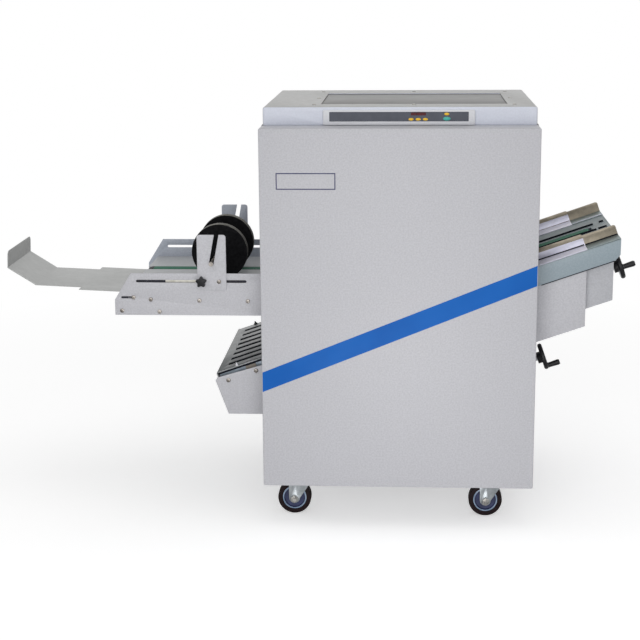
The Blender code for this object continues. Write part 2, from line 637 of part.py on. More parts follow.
# Bed: the sloping plate that the sheets lie on inside, with the clinchers under the staple line
BED_THICK = 0.003
BED_LEFT_INSET = 0.0697
BED_LEFT = BED_LEFT_INSET - COVER_ALONG
BED_RIGHT = MAIN_PLATE_HALF_X / BED_COS + 2 * GAP
STOP_SLOT = 0.008
STOP_FINGER_Y = 0.036
STAPLE_STOP_REST = -0.045
STAPLE_STOP_TRAVEL = 0.040
STOP_FINGER_LONG = 0.010
STOP_SLOT_END = 0.006
KNIFE_INSET = 0.0512
KNIFE_SLOT = 0.008
CLINCHER_Y = 0.060
CLINCHER_WIDTH = 0.030
CLINCHER_LONG = 0.024
CLINCHER_DEEP = 0.030
UPPER_LUG_LEFT = -0.108
UPPER_LUG = 0.006
UPPER_LUG_END = 0.010
UPPER_LUG_RIGHT = BED_RIGHT - UPPER_LUG - UPPER_LUG_END
KNIFE_WIDTH = 2 * (MAIN_INNER - KNIFE_INSET)


def make_bed():
    plate = block("bed_plate", (BED_LEFT, -CARRIED_HALF, -BED_THICK), (BED_RIGHT, CARRIED_HALF, 0), bed)
    low, high = -BED_THICK - OVERRUN, OVERRUN
    slot_low = STAPLE_STOP_REST - STAPLE_STOP_TRAVEL - STOP_FINGER_LONG / 2 - STOP_SLOT_END
    slot_high = STAPLE_STOP_REST + STAPLE_STOP_TRAVEL + STOP_FINGER_LONG / 2 + STOP_SLOT_END
    for side, side_y in (("front", -1), ("rear", 1)):
        middle = side_y * STOP_FINGER_Y
        cut(plate, block(f"bed_slot_{side}", (slot_low, middle - STOP_SLOT / 2, low),
                         (slot_high, middle + STOP_SLOT / 2, high), bed, cutters))
        clincher = side_y * CLINCHER_Y
        unite(plate, block(f"clincher_{side}",
                           (STAPLE_ALONG - CLINCHER_LONG / 2, clincher - CLINCHER_WIDTH / 2, -CLINCHER_DEEP),
                           (STAPLE_ALONG + CLINCHER_LONG / 2, clincher + CLINCHER_WIDTH / 2, -BED_THICK / 2),
                           bed, cutters))
    cut(plate, block("knife_slot", (FOLD_ALONG - KNIFE_SLOT / 2, -KNIFE_WIDTH / 2 - PLATE_RUN, low),
                     (FOLD_ALONG + KNIFE_SLOT / 2, KNIFE_WIDTH / 2 + PLATE_RUN, high), bed, cutters))
    for lug, along in (("left", UPPER_LUG_LEFT), ("right", UPPER_LUG_RIGHT)):
        unite(plate, block(f"upper_lug_{lug}",
                           (along, SCREW_Y - SCREW_LUG_HALF, -UPPER_SCREW_DROP - SCREW_LUG_HALF),
                           (along + UPPER_LUG, SCREW_Y + SCREW_LUG_HALF, -BED_THICK / 2), bed, cutters))
        cut(plate, rod(f"upper_lug_bore_{lug}", SCREW_RADIUS + GAP,
                       (along - OVERRUN, SCREW_Y, -UPPER_SCREW_DROP),
                       (along + UPPER_LUG + OVERRUN, SCREW_Y, -UPPER_SCREW_DROP), bed, cutters))
    paint(plate, BRIGHT)


# Stapler: two heads clamped on a bar that the drive pulls down onto the clinchers
HEAD_WIDTH = 0.036
HEAD_LONG = 0.056
HEAD_ABOVE_BAR = 0.010
HEAD_FOOT_ABOVE = 0.0135
HEAD_NOSE = 0.012
HEAD_NOSE_LONG = 0.014


def make_stapler():
    bar_low, bar_high = STAPLER_BAR_ABOVE, STAPLER_BAR_ABOVE + STAPLER_BAR_HEIGHT
    bar_half = STAPLER_BAR_LENGTH / 2
    paint(block("stapler_bar", (STAPLE_ALONG - bar_half, -PLATE_REACH, bar_low),
                (STAPLE_ALONG + bar_half, PLATE_REACH, bar_high), bed), STEEL)
    for side, side_y in (("front", -1), ("rear", 1)):
        middle = side_y * CLINCHER_Y
        nose = HEAD_NOSE_LONG / 2
        half = HEAD_LONG / 2
        top = bar_high + HEAD_ABOVE_BAR
        shape = [(STAPLE_ALONG - nose, HEAD_FOOT_ABOVE), (STAPLE_ALONG + nose, HEAD_FOOT_ABOVE),
                 (STAPLE_ALONG + nose, HEAD_FOOT_ABOVE + HEAD_NOSE),
                 (STAPLE_ALONG + half, HEAD_FOOT_ABOVE + 2 * HEAD_NOSE), (STAPLE_ALONG + half, top),
                 (STAPLE_ALONG - half, top), (STAPLE_ALONG - half, HEAD_FOOT_ABOVE + 2 * HEAD_NOSE),
                 (STAPLE_ALONG - nose, HEAD_FOOT_ABOVE + HEAD_NOSE)]
        clamp = bar_half + GAP
        hole = [(STAPLE_ALONG - clamp, bar_low - GAP), (STAPLE_ALONG + clamp, bar_low - GAP),
                (STAPLE_ALONG + clamp, bar_high + GAP), (STAPLE_ALONG - clamp, bar_high + GAP)]
        head = upright(f"stapler_head_{side}", [shape, hole], middle - HEAD_WIDTH / 2,
                       middle + HEAD_WIDTH / 2,
                       bed)
        paint(head, MOTOR)


# Fold rollers and knife
FOLD_ROLLER_INSET = 0.0112
KNIFE_BLADE = 0.0008
KNIFE_REST_BELOW = 0.006
FOLD_ROLLER_HALF = MAIN_INNER - FOLD_ROLLER_INSET


def make_fold_unit():
    for side, along in (("a", FOLD_ALONG - FOLD_SPREAD), ("b", FOLD_ALONG + FOLD_SPREAD)):
        profile = [(0, PLATE_REACH), (JOURNAL_RADIUS, PLATE_REACH), (JOURNAL_RADIUS, FOLD_ROLLER_HALF),
                   (FOLD_ROLLER_RADIUS, FOLD_ROLLER_HALF), (FOLD_ROLLER_RADIUS, -FOLD_ROLLER_HALF),
                   (JOURNAL_RADIUS, -FOLD_ROLLER_HALF), (JOURNAL_RADIUS, -PLATE_REACH), (0, -PLATE_REACH)]
        paint(turned(f"fold_roller_{side}", profile, (along, 0, FOLD_ROLLER_ABOVE), (0, 1, 0), bed), ROLLER)
    bar_low = -KNIFE_BAR_BELOW
    knife = block("fold_knife", (FOLD_ALONG - KNIFE_BAR / 2, -PLATE_REACH, bar_low),
                  (FOLD_ALONG + KNIFE_BAR / 2, PLATE_REACH, bar_low + KNIFE_BAR), bed)
    unite(knife, block("knife_blade", (FOLD_ALONG - KNIFE_BLADE / 2, -KNIFE_WIDTH / 2,
                                       bar_low + KNIFE_BAR / 2),
                       (FOLD_ALONG + KNIFE_BLADE / 2, KNIFE_WIDTH / 2, -KNIFE_REST_BELOW), bed, cutters))
    paint(knife, BRIGHT)


# Setting screws with their handwheels, and the stops that run on them
SCREW_OVERHANG = 0.007
NUT_HALF = 0.014
NUT_HEIGHT_HALF = 0.012
NUT_LONG = 0.010
STOP_BAR = 0.008
STOP_BAR_BELOW = 0.045
STOP_FINGER_WIDE = 0.005
STOP_FINGER_ABOVE = 0.016
FOLD_STOP_REST = -0.310
FOLD_STOP_TRAVEL = 0.035
UPPER_SCREW_END = STAPLE_STOP_REST - STAPLE_STOP_TRAVEL - NUT_LONG - SCREW_OVERHANG
LOWER_SCREW_END = FOLD_STOP_REST - FOLD_STOP_TRAVEL - NUT_LONG - SCREW_OVERHANG


def make_handwheel(name, wheel_along, drop, screw_end, grip_side):
    """The screw, boss, disc and grip turn together about the screw's axis."""
    half = HANDWHEEL_THICK / 2
    edge = half / 2
    profile = [(0, half), (HANDWHEEL_RADIUS - edge, half), (HANDWHEEL_RADIUS, half - edge),
               (HANDWHEEL_RADIUS, -half + edge), (HANDWHEEL_RADIUS - edge, -half),
               (HANDWHEEL_BOSS_RADIUS, -half), (HANDWHEEL_BOSS_RADIUS, -half - HANDWHEEL_BOSS),
               (SCREW_RADIUS, -half - HANDWHEEL_BOSS), (SCREW_RADIUS, screw_end - wheel_along),
               (0, screw_end - wheel_along)]
    wheel = turned(name, profile, (wheel_along, SCREW_Y, -drop), (1, 0, 0), bed,
                   steps=SMALL_STEPS + ARC_STEPS)
    grip_y = SCREW_Y + grip_side[0] * GRIP_OFFSET
    grip_z = -drop + grip_side[1] * GRIP_OFFSET
    unite(wheel, rod(f"{name}_grip", GRIP_RADIUS, (wheel_along, grip_y, grip_z),
                     (wheel_along + half + GRIP_LENGTH, grip_y, grip_z), bed, cutters))
    paint(wheel, BLACK)


def make_stop(name, rest, drop, bar_below, finger_y, upright_wide):
    """A nut on the screw, a bar across under the plate and two fingers up through its slots."""
    stop = block(name, (rest - NUT_LONG, SCREW_Y - NUT_HALF, -drop - NUT_HEIGHT_HALF),
                 (rest + NUT_LONG, SCREW_Y + NUT_HALF, -drop + NUT_HEIGHT_HALF), bed)
    half = STOP_BAR / 2
    unite(stop,
          block(f"{name}_upright", (rest - half, SCREW_Y - upright_wide, -drop),
                (rest + half, SCREW_Y + upright_wide, -bar_below), bed, cutters),
          block(f"{name}_bar", (rest - half + GAP, SCREW_Y - upright_wide + GAP, -bar_below - STOP_BAR),
                (rest + half - GAP, finger_y + STOP_FINGER_WIDE, -bar_below - GAP), bed, cutters))
    for side, side_y in (("front", -1), ("rear", 1)):
        middle = side_y * finger_y
        unite(stop, block(f"{name}_finger_{side}",
                          (rest - STOP_FINGER_LONG / 2, middle - STOP_FINGER_WIDE / 2, -bar_below - half),
                          (rest + STOP_FINGER_LONG / 2, middle + STOP_FINGER_WIDE / 2, STOP_FINGER_ABOVE),
                          bed, cutters))
    cut(stop, rod(f"{name}_bore", SCREW_RADIUS + GAP, (rest - NUT_LONG - OVERRUN, SCREW_Y, -drop),
                  (rest + NUT_LONG + OVERRUN, SCREW_Y, -drop), bed, cutters))
    paint(stop, ZINC)


# Infeed table: a channel that slopes down into the cabinet, with a belt in its middle
TABLE_OUT = 0.1973
TABLE_END_DROP = 0.0332
TABLE_END_BACK = 0.0119
TABLE_TOE_BACK = 0.0261
APRON_DEEP = 0.0415
TABLE_TAB_IN = 0.0777
DECK_SLOT = 0.004
DECK_SLOT_BACK = 0.215
DECK_SLOT_STOP = 0.033
DECK_DASH_BACK = 0.016
DECK_DASH_STOP = 0.0085
DECK_SLIT_Y = 0.0155
DECK_SLIT = 0.003
DECK_SLIT_BACK = 0.0194
INFEED_BELT_WIDTH = 0.030
INFEED_BELT_PROUD = 0.0006
INFEED_DRUM_RADIUS = 0.012
INFEED_DRIVE_BACK = 0.2105
INFEED_TAIL_BACK = 0.0573
BELT_SIDE_GAP = 0.002
DRUM_LUG = 0.004
DRUM_LUG_HALF = 0.008
INFEED_LOOP_RADIUS = INFEED_DRUM_RADIUS + GAP + BELT_THICK
INFEED_AXIS = INFEED_BELT_PROUD - INFEED_LOOP_RADIUS
TABLE_END = COVER_ALONG + TABLE_OUT
TABLE_END_LOW = TABLE_END - TABLE_END_BACK
TABLE_TOE = TABLE_END - TABLE_TOE_BACK
TABLE_TAB = COVER_ALONG - TABLE_TAB_IN
INFEED_DRIVE_ALONG = TABLE_END - INFEED_DRIVE_BACK
INFEED_TAIL_ALONG = TABLE_END - INFEED_TAIL_BACK


def belt_loops(first_x, second_x, z, outer, inner):
    """The outer and inner outline of a belt round two drums."""
    steps = 2 * ARC_STEPS
    loops = []
    for radius in (outer, inner):
        loops.append(arc(first_x, z, radius, pi / 2, 3 * pi / 2, steps)
                     + arc(second_x, z, radius, -pi / 2, pi / 2, steps))
    return loops


def make_infeed_table():
    shape = [(TABLE_TAB, -APRON_DEEP), (TABLE_TOE, -APRON_DEEP), (TABLE_END_LOW, -TABLE_END_DROP),
             (TABLE_END, 0), (TABLE_TAB, 0)]
    table = upright("infeed_table", [shape], -SIDE_OUTER, SIDE_OUTER, bed)
    deck_start = BED_RIGHT + GAP
    drum_y = INFEED_BELT_WIDTH / 2 + BELT_SIDE_GAP
    belt_low = INFEED_DRIVE_ALONG - INFEED_LOOP_RADIUS - BELT_SIDE_GAP
    belt_high = INFEED_TAIL_ALONG + INFEED_LOOP_RADIUS + BELT_SIDE_GAP
    low, high = -PLATE - OVERRUN, OVERRUN
    past = TABLE_TAB - OVERRUN
    cut(table,
        block("table_inside", (past, -SIDE_INNER, -APRON_DEEP - OVERRUN),
              (TABLE_END + OVERRUN, SIDE_INNER, -PLATE),
              bed, cutters),
        block("table_tabs", (past, -SIDE_INNER, low), (deck_start, SIDE_INNER, high), bed, cutters),
        block("belt_window", (belt_low, -drum_y, low), (belt_high, drum_y, high), bed, cutters),
        block("deck_slit", (TABLE_END - DECK_SLIT_BACK, DECK_SLIT_Y - DECK_SLIT / 2, low),
              (TABLE_END + OVERRUN, DECK_SLIT_Y + DECK_SLIT / 2, high), bed, cutters))
    for side, side_y in (("front", -1), ("rear", 1)):
        middle = side_y * STOP_FINGER_Y
        for part, start, end in (("slot", TABLE_END - DECK_SLOT_BACK, TABLE_END - DECK_SLOT_STOP),
                                 ("dash", TABLE_END - DECK_DASH_BACK, TABLE_END - DECK_DASH_STOP)):
            cut(table, block(f"deck_{part}_{side}", (start, middle - DECK_SLOT / 2, low),
                             (end, middle + DECK_SLOT / 2, high), bed, cutters))
        lug_low, lug_high = sorted((side_y * drum_y, side_y * (drum_y + DRUM_LUG)))
        for end, along in (("drive", INFEED_DRIVE_ALONG), ("tail", INFEED_TAIL_ALONG)):
            unite(table, block(f"drum_lug_{end}_{side}", (along - DRUM_LUG_HALF, lug_low,
                                                          INFEED_AXIS - DRUM_LUG_HALF),
                               (along + DRUM_LUG_HALF, lug_high, -PLATE / 2), bed, cutters))
            cut(table, rod(f"drum_lug_bore_{end}_{side}", DRIVE_SHAFT_RADIUS + GAP,
                           (along, lug_low - OVERRUN / 2, INFEED_AXIS),
                           (along, lug_high + OVERRUN / 2, INFEED_AXIS), bed, cutters))
    paint(table, APRON_PAINT)
    loops = belt_loops(INFEED_DRIVE_ALONG, INFEED_TAIL_ALONG, INFEED_AXIS, INFEED_LOOP_RADIUS,
                       INFEED_DRUM_RADIUS + GAP)
    half = INFEED_BELT_WIDTH / 2
    paint(upright("infeed_belt", loops, -half, half, bed), BELT_GREEN)
    shaft = drum_y + DRUM_LUG
    for name, along in (("infeed_drive_roller", INFEED_DRIVE_ALONG),
                        ("infeed_tail_roller", INFEED_TAIL_ALONG)):
        profile = [(0, shaft), (DRIVE_SHAFT_RADIUS, shaft), (DRIVE_SHAFT_RADIUS, half),
                   (INFEED_DRUM_RADIUS, half), (INFEED_DRUM_RADIUS, -half),
                   (DRIVE_SHAFT_RADIUS, -half), (DRIVE_SHAFT_RADIUS, -shaft), (0, -shaft)]
        paint(turned(name, profile, (along, 0, INFEED_AXIS), (0, 1, 0), bed, steps=SMALL_STEPS), ROLLER)


# Side guides: a flat foot with a fence, the inner fence a little taller than the outer one.
# The front guide's foot is turned outwards, the rear one's is turned inwards.
GUIDE_INSET = 0.052
GUIDE_FOOT_IN = 0.060
GUIDE_FOOT_OUT = 0.0495
GUIDE_BACK = 0.225
GUIDE_STEP_BACK = 0.0755
GUIDE_HIGH = 0.025
GUIDE_INNER_HIGH = 0.028
GUIDE_CORNER = 0.005
GUIDE_Y = SIDE_OUTER - GUIDE_INSET
GUIDE_START = TABLE_END - GUIDE_BACK
GUIDE_STEP = TABLE_END - GUIDE_STEP_BACK


def make_side_guides():
    for side, side_y, foot_out, foot_in in (("front", -1, GUIDE_FOOT_OUT, 2 * PLATE),
                                            ("rear", 1, 0, GUIDE_FOOT_IN)):
        foot_low, foot_far = sorted((side_y * (GUIDE_Y + foot_out), side_y * (GUIDE_Y - foot_in)))
        guide_piece = block(f"side_guide_{side}", (GUIDE_START, foot_low, GAP), (TABLE_END, foot_far, PLATE),
                            bed)
        for part, start, end, high, set_in in (("outer", GUIDE_STEP - PLATE, TABLE_END, GUIDE_HIGH, 0),
                                               ("inner", GUIDE_START, GUIDE_STEP, GUIDE_INNER_HIGH, PLATE)):
            shape = [(start, GAP), (end, GAP)] + arc(end - GUIDE_CORNER, high - GUIDE_CORNER, GUIDE_CORNER,
                                                     0, pi / 2) + [(start, high)]
            fence_low, fence_high = sorted((side_y * (GUIDE_Y - set_in), side_y * (GUIDE_Y - set_in - PLATE)))
            unite(guide_piece, upright(f"fence_{part}_{side}", [shape], fence_low, fence_high, bed, cutters))
        paint(guide_piece, BRIGHT)


# Guards: two open pans under the table that hide the upper screw
GUARD_INNER_OUT = 0.1135
GUARD_INNER_DROP = 0.172
GUARD_OUTER_OUT = 0.1745
GUARD_OUTER_DROP = 0.137
GUARD_OUTER_INSET = 0.020
GUARD_LAP = 0.012
GUARD_INNER_RIGHT = HALF_WIDTH + GUARD_INNER_OUT
GUARD_OUTER_RIGHT = HALF_WIDTH + GUARD_OUTER_OUT
GUARD_OUTER_Y = SIDE_OUTER - GUARD_OUTER_INSET
GUARD_TOP_DROP = APRON_DEEP / BED_COS - GUARD_LAP


def make_guard(name, left, right, drop, half_y):
    def corners(x_low, x_high, low_drop, high_drop):
        return [(x_low, bed_level(x_low) - low_drop), (x_high, bed_level(x_high) - low_drop),
                (x_high, bed_level(x_high) - high_drop), (x_low, bed_level(x_low) - high_drop)]
    guard = upright(name, [corners(left, right, drop, GUARD_TOP_DROP)], -half_y, half_y, machine)
    hollow = corners(left - OVERRUN, right - SHEET, drop - SHEET / BED_COS, GUARD_TOP_DROP - OVERRUN)
    cut(guard,
        upright(f"{name}_inside", [hollow], -half_y + SHEET, half_y - SHEET, machine, cutters),
        rod(f"{name}_hole", SCREW_RADIUS + SHAFT_CLEAR, (0, SCREW_Y, -UPPER_SCREW_DROP),
            (UPPER_WHEEL_ALONG, SCREW_Y, -UPPER_SCREW_DROP), bed, cutters))
    paint(guard, PAINT)


def make_guards():
    make_guard("infeed_guard_inner", HALF_WIDTH + GAP, GUARD_INNER_RIGHT, GUARD_INNER_DROP, SIDE_INNER - GAP)
    make_guard("infeed_guard_outer", GUARD_INNER_RIGHT + GAP, GUARD_OUTER_RIGHT, GUARD_OUTER_DROP,
               GUARD_OUTER_Y)


# Delivery: side plates, deck, two belts round two rollers, and the sliding stacker tongue
DELIVERY_OUT = 0.3395
DELIVERY_SHOULDER_BELOW = 0.018
DELIVERY_NOSE = 0.0383
PLATE_TAB_IN = 0.064
PRESS_SLOT_OUT = 0.290
PRESS_SLOT_IN = 0.040
PRESS_SLOT_ABOVE = 0.025
PRESS_SLOT = 0.006
TENSION_SLOT_BACK = 0.0145
TENSION_SLOT_LONG = 0.028
TENSION_SLOT = 0.005
DECK_TOP_DROP = 0.0008
DECK_THICK = 0.0012
DECK_BACK = 0.0245
DELIVERY_TAIL_BACK = 0.0355
DELIVERY_BELT_Y = 0.067
DELIVERY_BELT_WIDTH = 0.030
TONGUE_THICK = 0.0015
TONGUE_HALF = 0.107
TONGUE_WIDE_HALF = 0.135
TONGUE_SLOPE_ANGLE = radians(2.4)
TONGUE_BEND_OUT = 0.548
TONGUE_BEND_BELOW = 0.0085
TONGUE_STEP_ALONG = 0.107
TONGUE_ARM_ALONG = 0.348
TONGUE_TILT_TOP = 0.038
TONGUE_WALL = 0.0382
TONGUE_CORNER = 0.012
TONGUE_ARM_INNER = 0.0885
RUNNER = 0.002
RUNNER_CLEAR = 0.0015
DECK_TOP = BELT_TOP - DECK_TOP_DROP
DECK_LOW = DECK_TOP - DECK_THICK
DECK_RIGHT = -MAIN_PLATE_HALF_X - GAP
DELIVERY_LEFT = -HALF_WIDTH - DELIVERY_OUT
DELIVERY_SHOULDER_Z = BELT_TOP - DELIVERY_SHOULDER_BELOW
DELIVERY_TOP_LEFT = DELIVERY_LEFT + DELIVERY_NOSE
PLATE_TAB = PLATE_TAB_IN - HALF_WIDTH
PRESS_SLOT_LEFT = -HALF_WIDTH - PRESS_SLOT_OUT
PRESS_SLOT_RIGHT = -HALF_WIDTH - PRESS_SLOT_IN
PRESS_SLOT_Z = BELT_TOP + PRESS_SLOT_ABOVE
TENSION_SLOT_LEFT = DELIVERY_LEFT + TENSION_SLOT_BACK
TENSION_SLOT_RIGHT = TENSION_SLOT_LEFT + TENSION_SLOT_LONG
DECK_LEFT = DELIVERY_LEFT + DECK_BACK
DELIVERY_TAIL_X = DELIVERY_LEFT + DELIVERY_TAIL_BACK
TONGUE_BEND = -HALF_WIDTH - TONGUE_BEND_OUT
TONGUE_BEND_Z = BELT_TOP - TONGUE_BEND_BELOW
TONGUE_COS = cos(TONGUE_SLOPE_ANGLE)
TONGUE_SIN = sin(TONGUE_SLOPE_ANGLE)
TONGUE_TILT_LOW = TONGUE_TILT_TOP - TONGUE_THICK
TONGUE_END = (-TONGUE_REACH - TONGUE_BEND - TONGUE_TILT_LOW * TONGUE_SIN) / TONGUE_COS
RUNNER_LEFT = DELIVERY_TAIL_X + DRIVE_SHAFT_RADIUS + RUNNER_CLEAR
RUNNER_RIGHT = TONGUE_BEND + TONGUE_ARM_ALONG * TONGUE_COS

# The tongue has a frame of its own: it slides uphill along it, and its bend is the origin
tongue_line = guide("tongue_line", (TONGUE_BEND, 0, TONGUE_BEND_Z), TONGUE_SLOPE_ANGLE, machine)


def tongue_low(x):
    return TONGUE_BEND_Z - (x - TONGUE_BEND) * tan(TONGUE_SLOPE_ANGLE) - TONGUE_THICK / TONGUE_COS


def make_delivery_plates():
    shape = [(DELIVERY_LEFT, DELIVERY_PLATE_BOTTOM), (PLATE_TAB, DELIVERY_PLATE_BOTTOM),
             (PLATE_TAB, DELIVERY_PLATE_TOP), (DELIVERY_TOP_LEFT, DELIVERY_PLATE_TOP),
             (DELIVERY_LEFT, DELIVERY_SHOULDER_Z)]
    slots = [slot_loop(PRESS_SLOT_LEFT, PRESS_SLOT_RIGHT, PRESS_SLOT_Z, PRESS_SLOT),
             slot_loop(TENSION_SLOT_LEFT, TENSION_SLOT_RIGHT, DELIVERY_AXIS_Z, TENSION_SLOT)]
    for side, side_y in (("front", -1), ("rear", 1)):
        low_y, high_y = sorted((side_y * SIDE_OUTER, side_y * SIDE_INNER))
        paint(upright(f"delivery_plate_{side}", [shape] + slots, low_y, high_y, machine), PAINT)


def make_delivery_deck():
    half = SIDE_INNER - GAP
    deck = block("delivery_deck", (DECK_LEFT, -half, DECK_LOW), (DECK_RIGHT, half, DECK_TOP), machine)
    window = DELIVERY_BELT_WIDTH / 2 + BELT_SIDE_GAP
    outer = TONGUE_WIDE_HALF + GAP
    lip_left, lip_right = tongue_low(RUNNER_LEFT) - GAP, tongue_low(RUNNER_RIGHT) - GAP
    foot = [(RUNNER_LEFT, lip_left - RUNNER), (RUNNER_RIGHT, lip_right - RUNNER)]
    web = foot + [(RUNNER_RIGHT, DECK_LOW + DECK_THICK / 2), (RUNNER_LEFT, DECK_LOW + DECK_THICK / 2)]
    lip = foot + [(RUNNER_RIGHT, lip_right), (RUNNER_LEFT, lip_left)]
    for side, side_y in (("front", -1), ("rear", 1)):
        middle = side_y * DELIVERY_BELT_Y
        cut(deck, block(f"deck_window_{side}", (DECK_LEFT - OVERRUN, middle - window, DECK_LOW - OVERRUN),
                        (DECK_RIGHT + OVERRUN, middle + window, DECK_TOP + OVERRUN), machine, cutters))
        for part, shape, start in (("web", web, outer), ("lip", lip, outer - 2 * RUNNER)):
            low_y, high_y = sorted((side_y * start, side_y * (outer + RUNNER)))
            unite(deck, upright(f"runner_{part}_{side}", [shape], low_y, high_y, machine, cutters))
    bridge = DECK_RIGHT - DELIVERY_LOOP_RADIUS
    for end, x_low, x_high in (("middle", (DECK_LEFT + DECK_RIGHT) / 2, (DECK_LEFT + DECK_RIGHT) / 2
                                + DELIVERY_BELT_WIDTH), ("inner", bridge, DECK_RIGHT)):
        bridge_top = BELT_TOP - BELT_THICK - GAP
        unite(deck, block(f"deck_bridge_{end}", (x_low, -DELIVERY_BELT_Y - window - PLATE,
                                                 bridge_top - DECK_THICK),
                          (x_high, DELIVERY_BELT_Y + window + PLATE, bridge_top), machine, cutters))
    paint(deck, ZINC)


def make_delivery_rollers():
    loops = belt_loops(DELIVERY_TAIL_X, DELIVERY_DRIVE_X, DELIVERY_AXIS_Z, DELIVERY_LOOP_RADIUS,
                       DELIVERY_DRUM_RADIUS + GAP)
    half = DELIVERY_BELT_WIDTH / 2
    for side, side_y in (("front", -1), ("rear", 1)):
        middle = side_y * DELIVERY_BELT_Y
        paint(upright(f"delivery_belt_{side}", loops, middle - half, middle + half, machine), BELT_GREEN)
    for name, x, reach in (("delivery_drive_roller", DELIVERY_DRIVE_X, PLATE_REACH),
                           ("delivery_tail_roller", DELIVERY_TAIL_X, SIDE_OUTER)):
        inner, outer = DELIVERY_BELT_Y - half, DELIVERY_BELT_Y + half
        thin, thick = DRIVE_SHAFT_RADIUS, DELIVERY_DRUM_RADIUS
        end = min(thin, (TENSION_SLOT - 2 * GAP) / 2) if reach == SIDE_OUTER else thin
        shoulder = SIDE_INNER - GAP if reach == SIDE_OUTER else (outer + reach) / 2
        profile = [(0, reach), (end, reach), (end, shoulder), (thin, shoulder - GAP), (thin, outer),
                   (thick, outer), (thick, inner), (thin, inner)]
        profile += [(radius, -height) for radius, height in reversed(profile)]
        paint(turned(name, profile, (x, 0, DELIVERY_AXIS_Z), (0, 1, 0), machine, steps=SMALL_STEPS), ROLLER)


def make_tongue():
    end_x, thick, step = TONGUE_END, TONGUE_THICK, TONGUE_STEP_ALONG
    notch_x = DELIVERY_TAIL_X - DELIVERY_LOOP_RADIUS - BELT_SIDE_GAP
    notch = (notch_x - TONGUE_BEND) / TONGUE_COS
    profile = [(step + thick, 0), (0, 0), (end_x + thick, TONGUE_TILT_TOP),
               (end_x + thick, TONGUE_TILT_TOP + TONGUE_CORNER), (end_x, TONGUE_TILT_TOP + TONGUE_CORNER),
               (end_x, TONGUE_TILT_LOW), (-thick / 2, -thick), (step + thick, -thick)]
    tongue = upright("stacker_tongue", [profile], -TONGUE_HALF, TONGUE_HALF, tongue_line)
    wide, arm = TONGUE_WIDE_HALF, TONGUE_ARM_INNER
    plan = [(step, -wide), (TONGUE_ARM_ALONG, -wide), (TONGUE_ARM_ALONG, -arm), (notch, -arm),
            (notch, arm), (TONGUE_ARM_ALONG, arm), (TONGUE_ARM_ALONG, wide), (step, wide)]
    wall = rounded_box_loop(-TONGUE_HALF, TONGUE_TILT_TOP, TONGUE_HALF, TONGUE_TILT_TOP + TONGUE_WALL,
                            TONGUE_CORNER)
    unite(tongue, flat("tongue_wide", [plan], -thick, 0, tongue_line, cutters),
          facing("tongue_wall", [wall], end_x, end_x + thick, tongue_line, cutters))
    paint(tongue, ZINC)


# Press: two brackets slide along the delivery plates, and the discs' shaft floats in their slots
BRACKET_OUT = 0.0851
BRACKET_WIDE = 0.0651
BRACKET_LOW_ABOVE = 0.005
BRACKET_TALL = 0.126
BRACKET_THICK = 0.0025
BRACKET_CORNER = 0.006
PRESS_DISC_RADIUS = 0.065
PRESS_DISC_HALF = 0.0125
PRESS_DISC_ROUND = 0.005
PRESS_SHAFT_RADIUS = 0.005
PRESS_SHAFT_PROUD = 0.0075
PRESS_OFFSET = 0.0334
PRESS_LEAN = 0.0126
KNOB_INSET = 0.0089
KNOB_RADIUS = 0.0125
KNOB_WAIST = 0.0085
KNOB_THICK = 0.010
KNOB_LOBES = 5
BOLT_RADIUS = 0.0025
BOLT_HEAD_RADIUS = 0.006
BOLT_HEAD = 0.004
KNOB_BORE = 0.007
PRESS_Z = BELT_TOP + GAP + PRESS_DISC_RADIUS
PRESS_SHAFT_REACH = SIDE_OUTER + PRESS_SHAFT_PROUD
BRACKET_RIGHT = -HALF_WIDTH - BRACKET_OUT
BRACKET_LEFT = BRACKET_RIGHT - BRACKET_WIDE
BRACKET_LOW = BELT_TOP + BRACKET_LOW_ABOVE
BRACKET_HIGH = BRACKET_LOW + BRACKET_TALL
PRESS_X = BRACKET_RIGHT - PRESS_OFFSET
KNOB_X = BRACKET_LEFT + KNOB_INSET
SLOT_HALF = PRESS_SHAFT_RADIUS + GAP
SLOT_TOP_X = PRESS_X + PRESS_LEAN
SLOT_LEAN_ANGLE = atan2(PRESS_LEAN, BRACKET_HIGH - PRESS_Z)


def bracket_loop():
    lean_x = SLOT_HALF * cos(SLOT_LEAN_ANGLE)
    loop = arc(BRACKET_LEFT + BRACKET_CORNER, BRACKET_LOW + BRACKET_CORNER, BRACKET_CORNER, pi, 3 * pi / 2)
    loop += arc(BRACKET_RIGHT - BRACKET_CORNER, BRACKET_LOW + BRACKET_CORNER, BRACKET_CORNER,
                3 * pi / 2, 2 * pi)
    loop += arc(BRACKET_RIGHT - BRACKET_CORNER, BRACKET_HIGH - BRACKET_CORNER, BRACKET_CORNER, 0, pi / 2)
    loop += [(SLOT_TOP_X + lean_x, BRACKET_HIGH)]
    loop += arc(PRESS_X, PRESS_Z, SLOT_HALF, -SLOT_LEAN_ANGLE, -pi - SLOT_LEAN_ANGLE, 2 * ARC_STEPS)
    loop += [(SLOT_TOP_X - lean_x, BRACKET_HIGH)]
    loop += arc(BRACKET_LEFT + BRACKET_CORNER, BRACKET_HIGH - BRACKET_CORNER, BRACKET_CORNER, pi / 2, pi)
    return loop


def knob_loop():
    """A star outline: the radius swells and narrows once for each lobe."""
    steps = 8 * KNOB_LOBES
    middle, swing = (KNOB_RADIUS + KNOB_WAIST) / 2, (KNOB_RADIUS - KNOB_WAIST) / 2
    loop = []
    for step in range(steps):
        angle = 2 * pi * step / steps
        radius = middle + swing * cos(KNOB_LOBES * angle)
        loop.append((KNOB_X + radius * sin(angle), PRESS_SLOT_Z + radius * cos(angle)))
    return loop


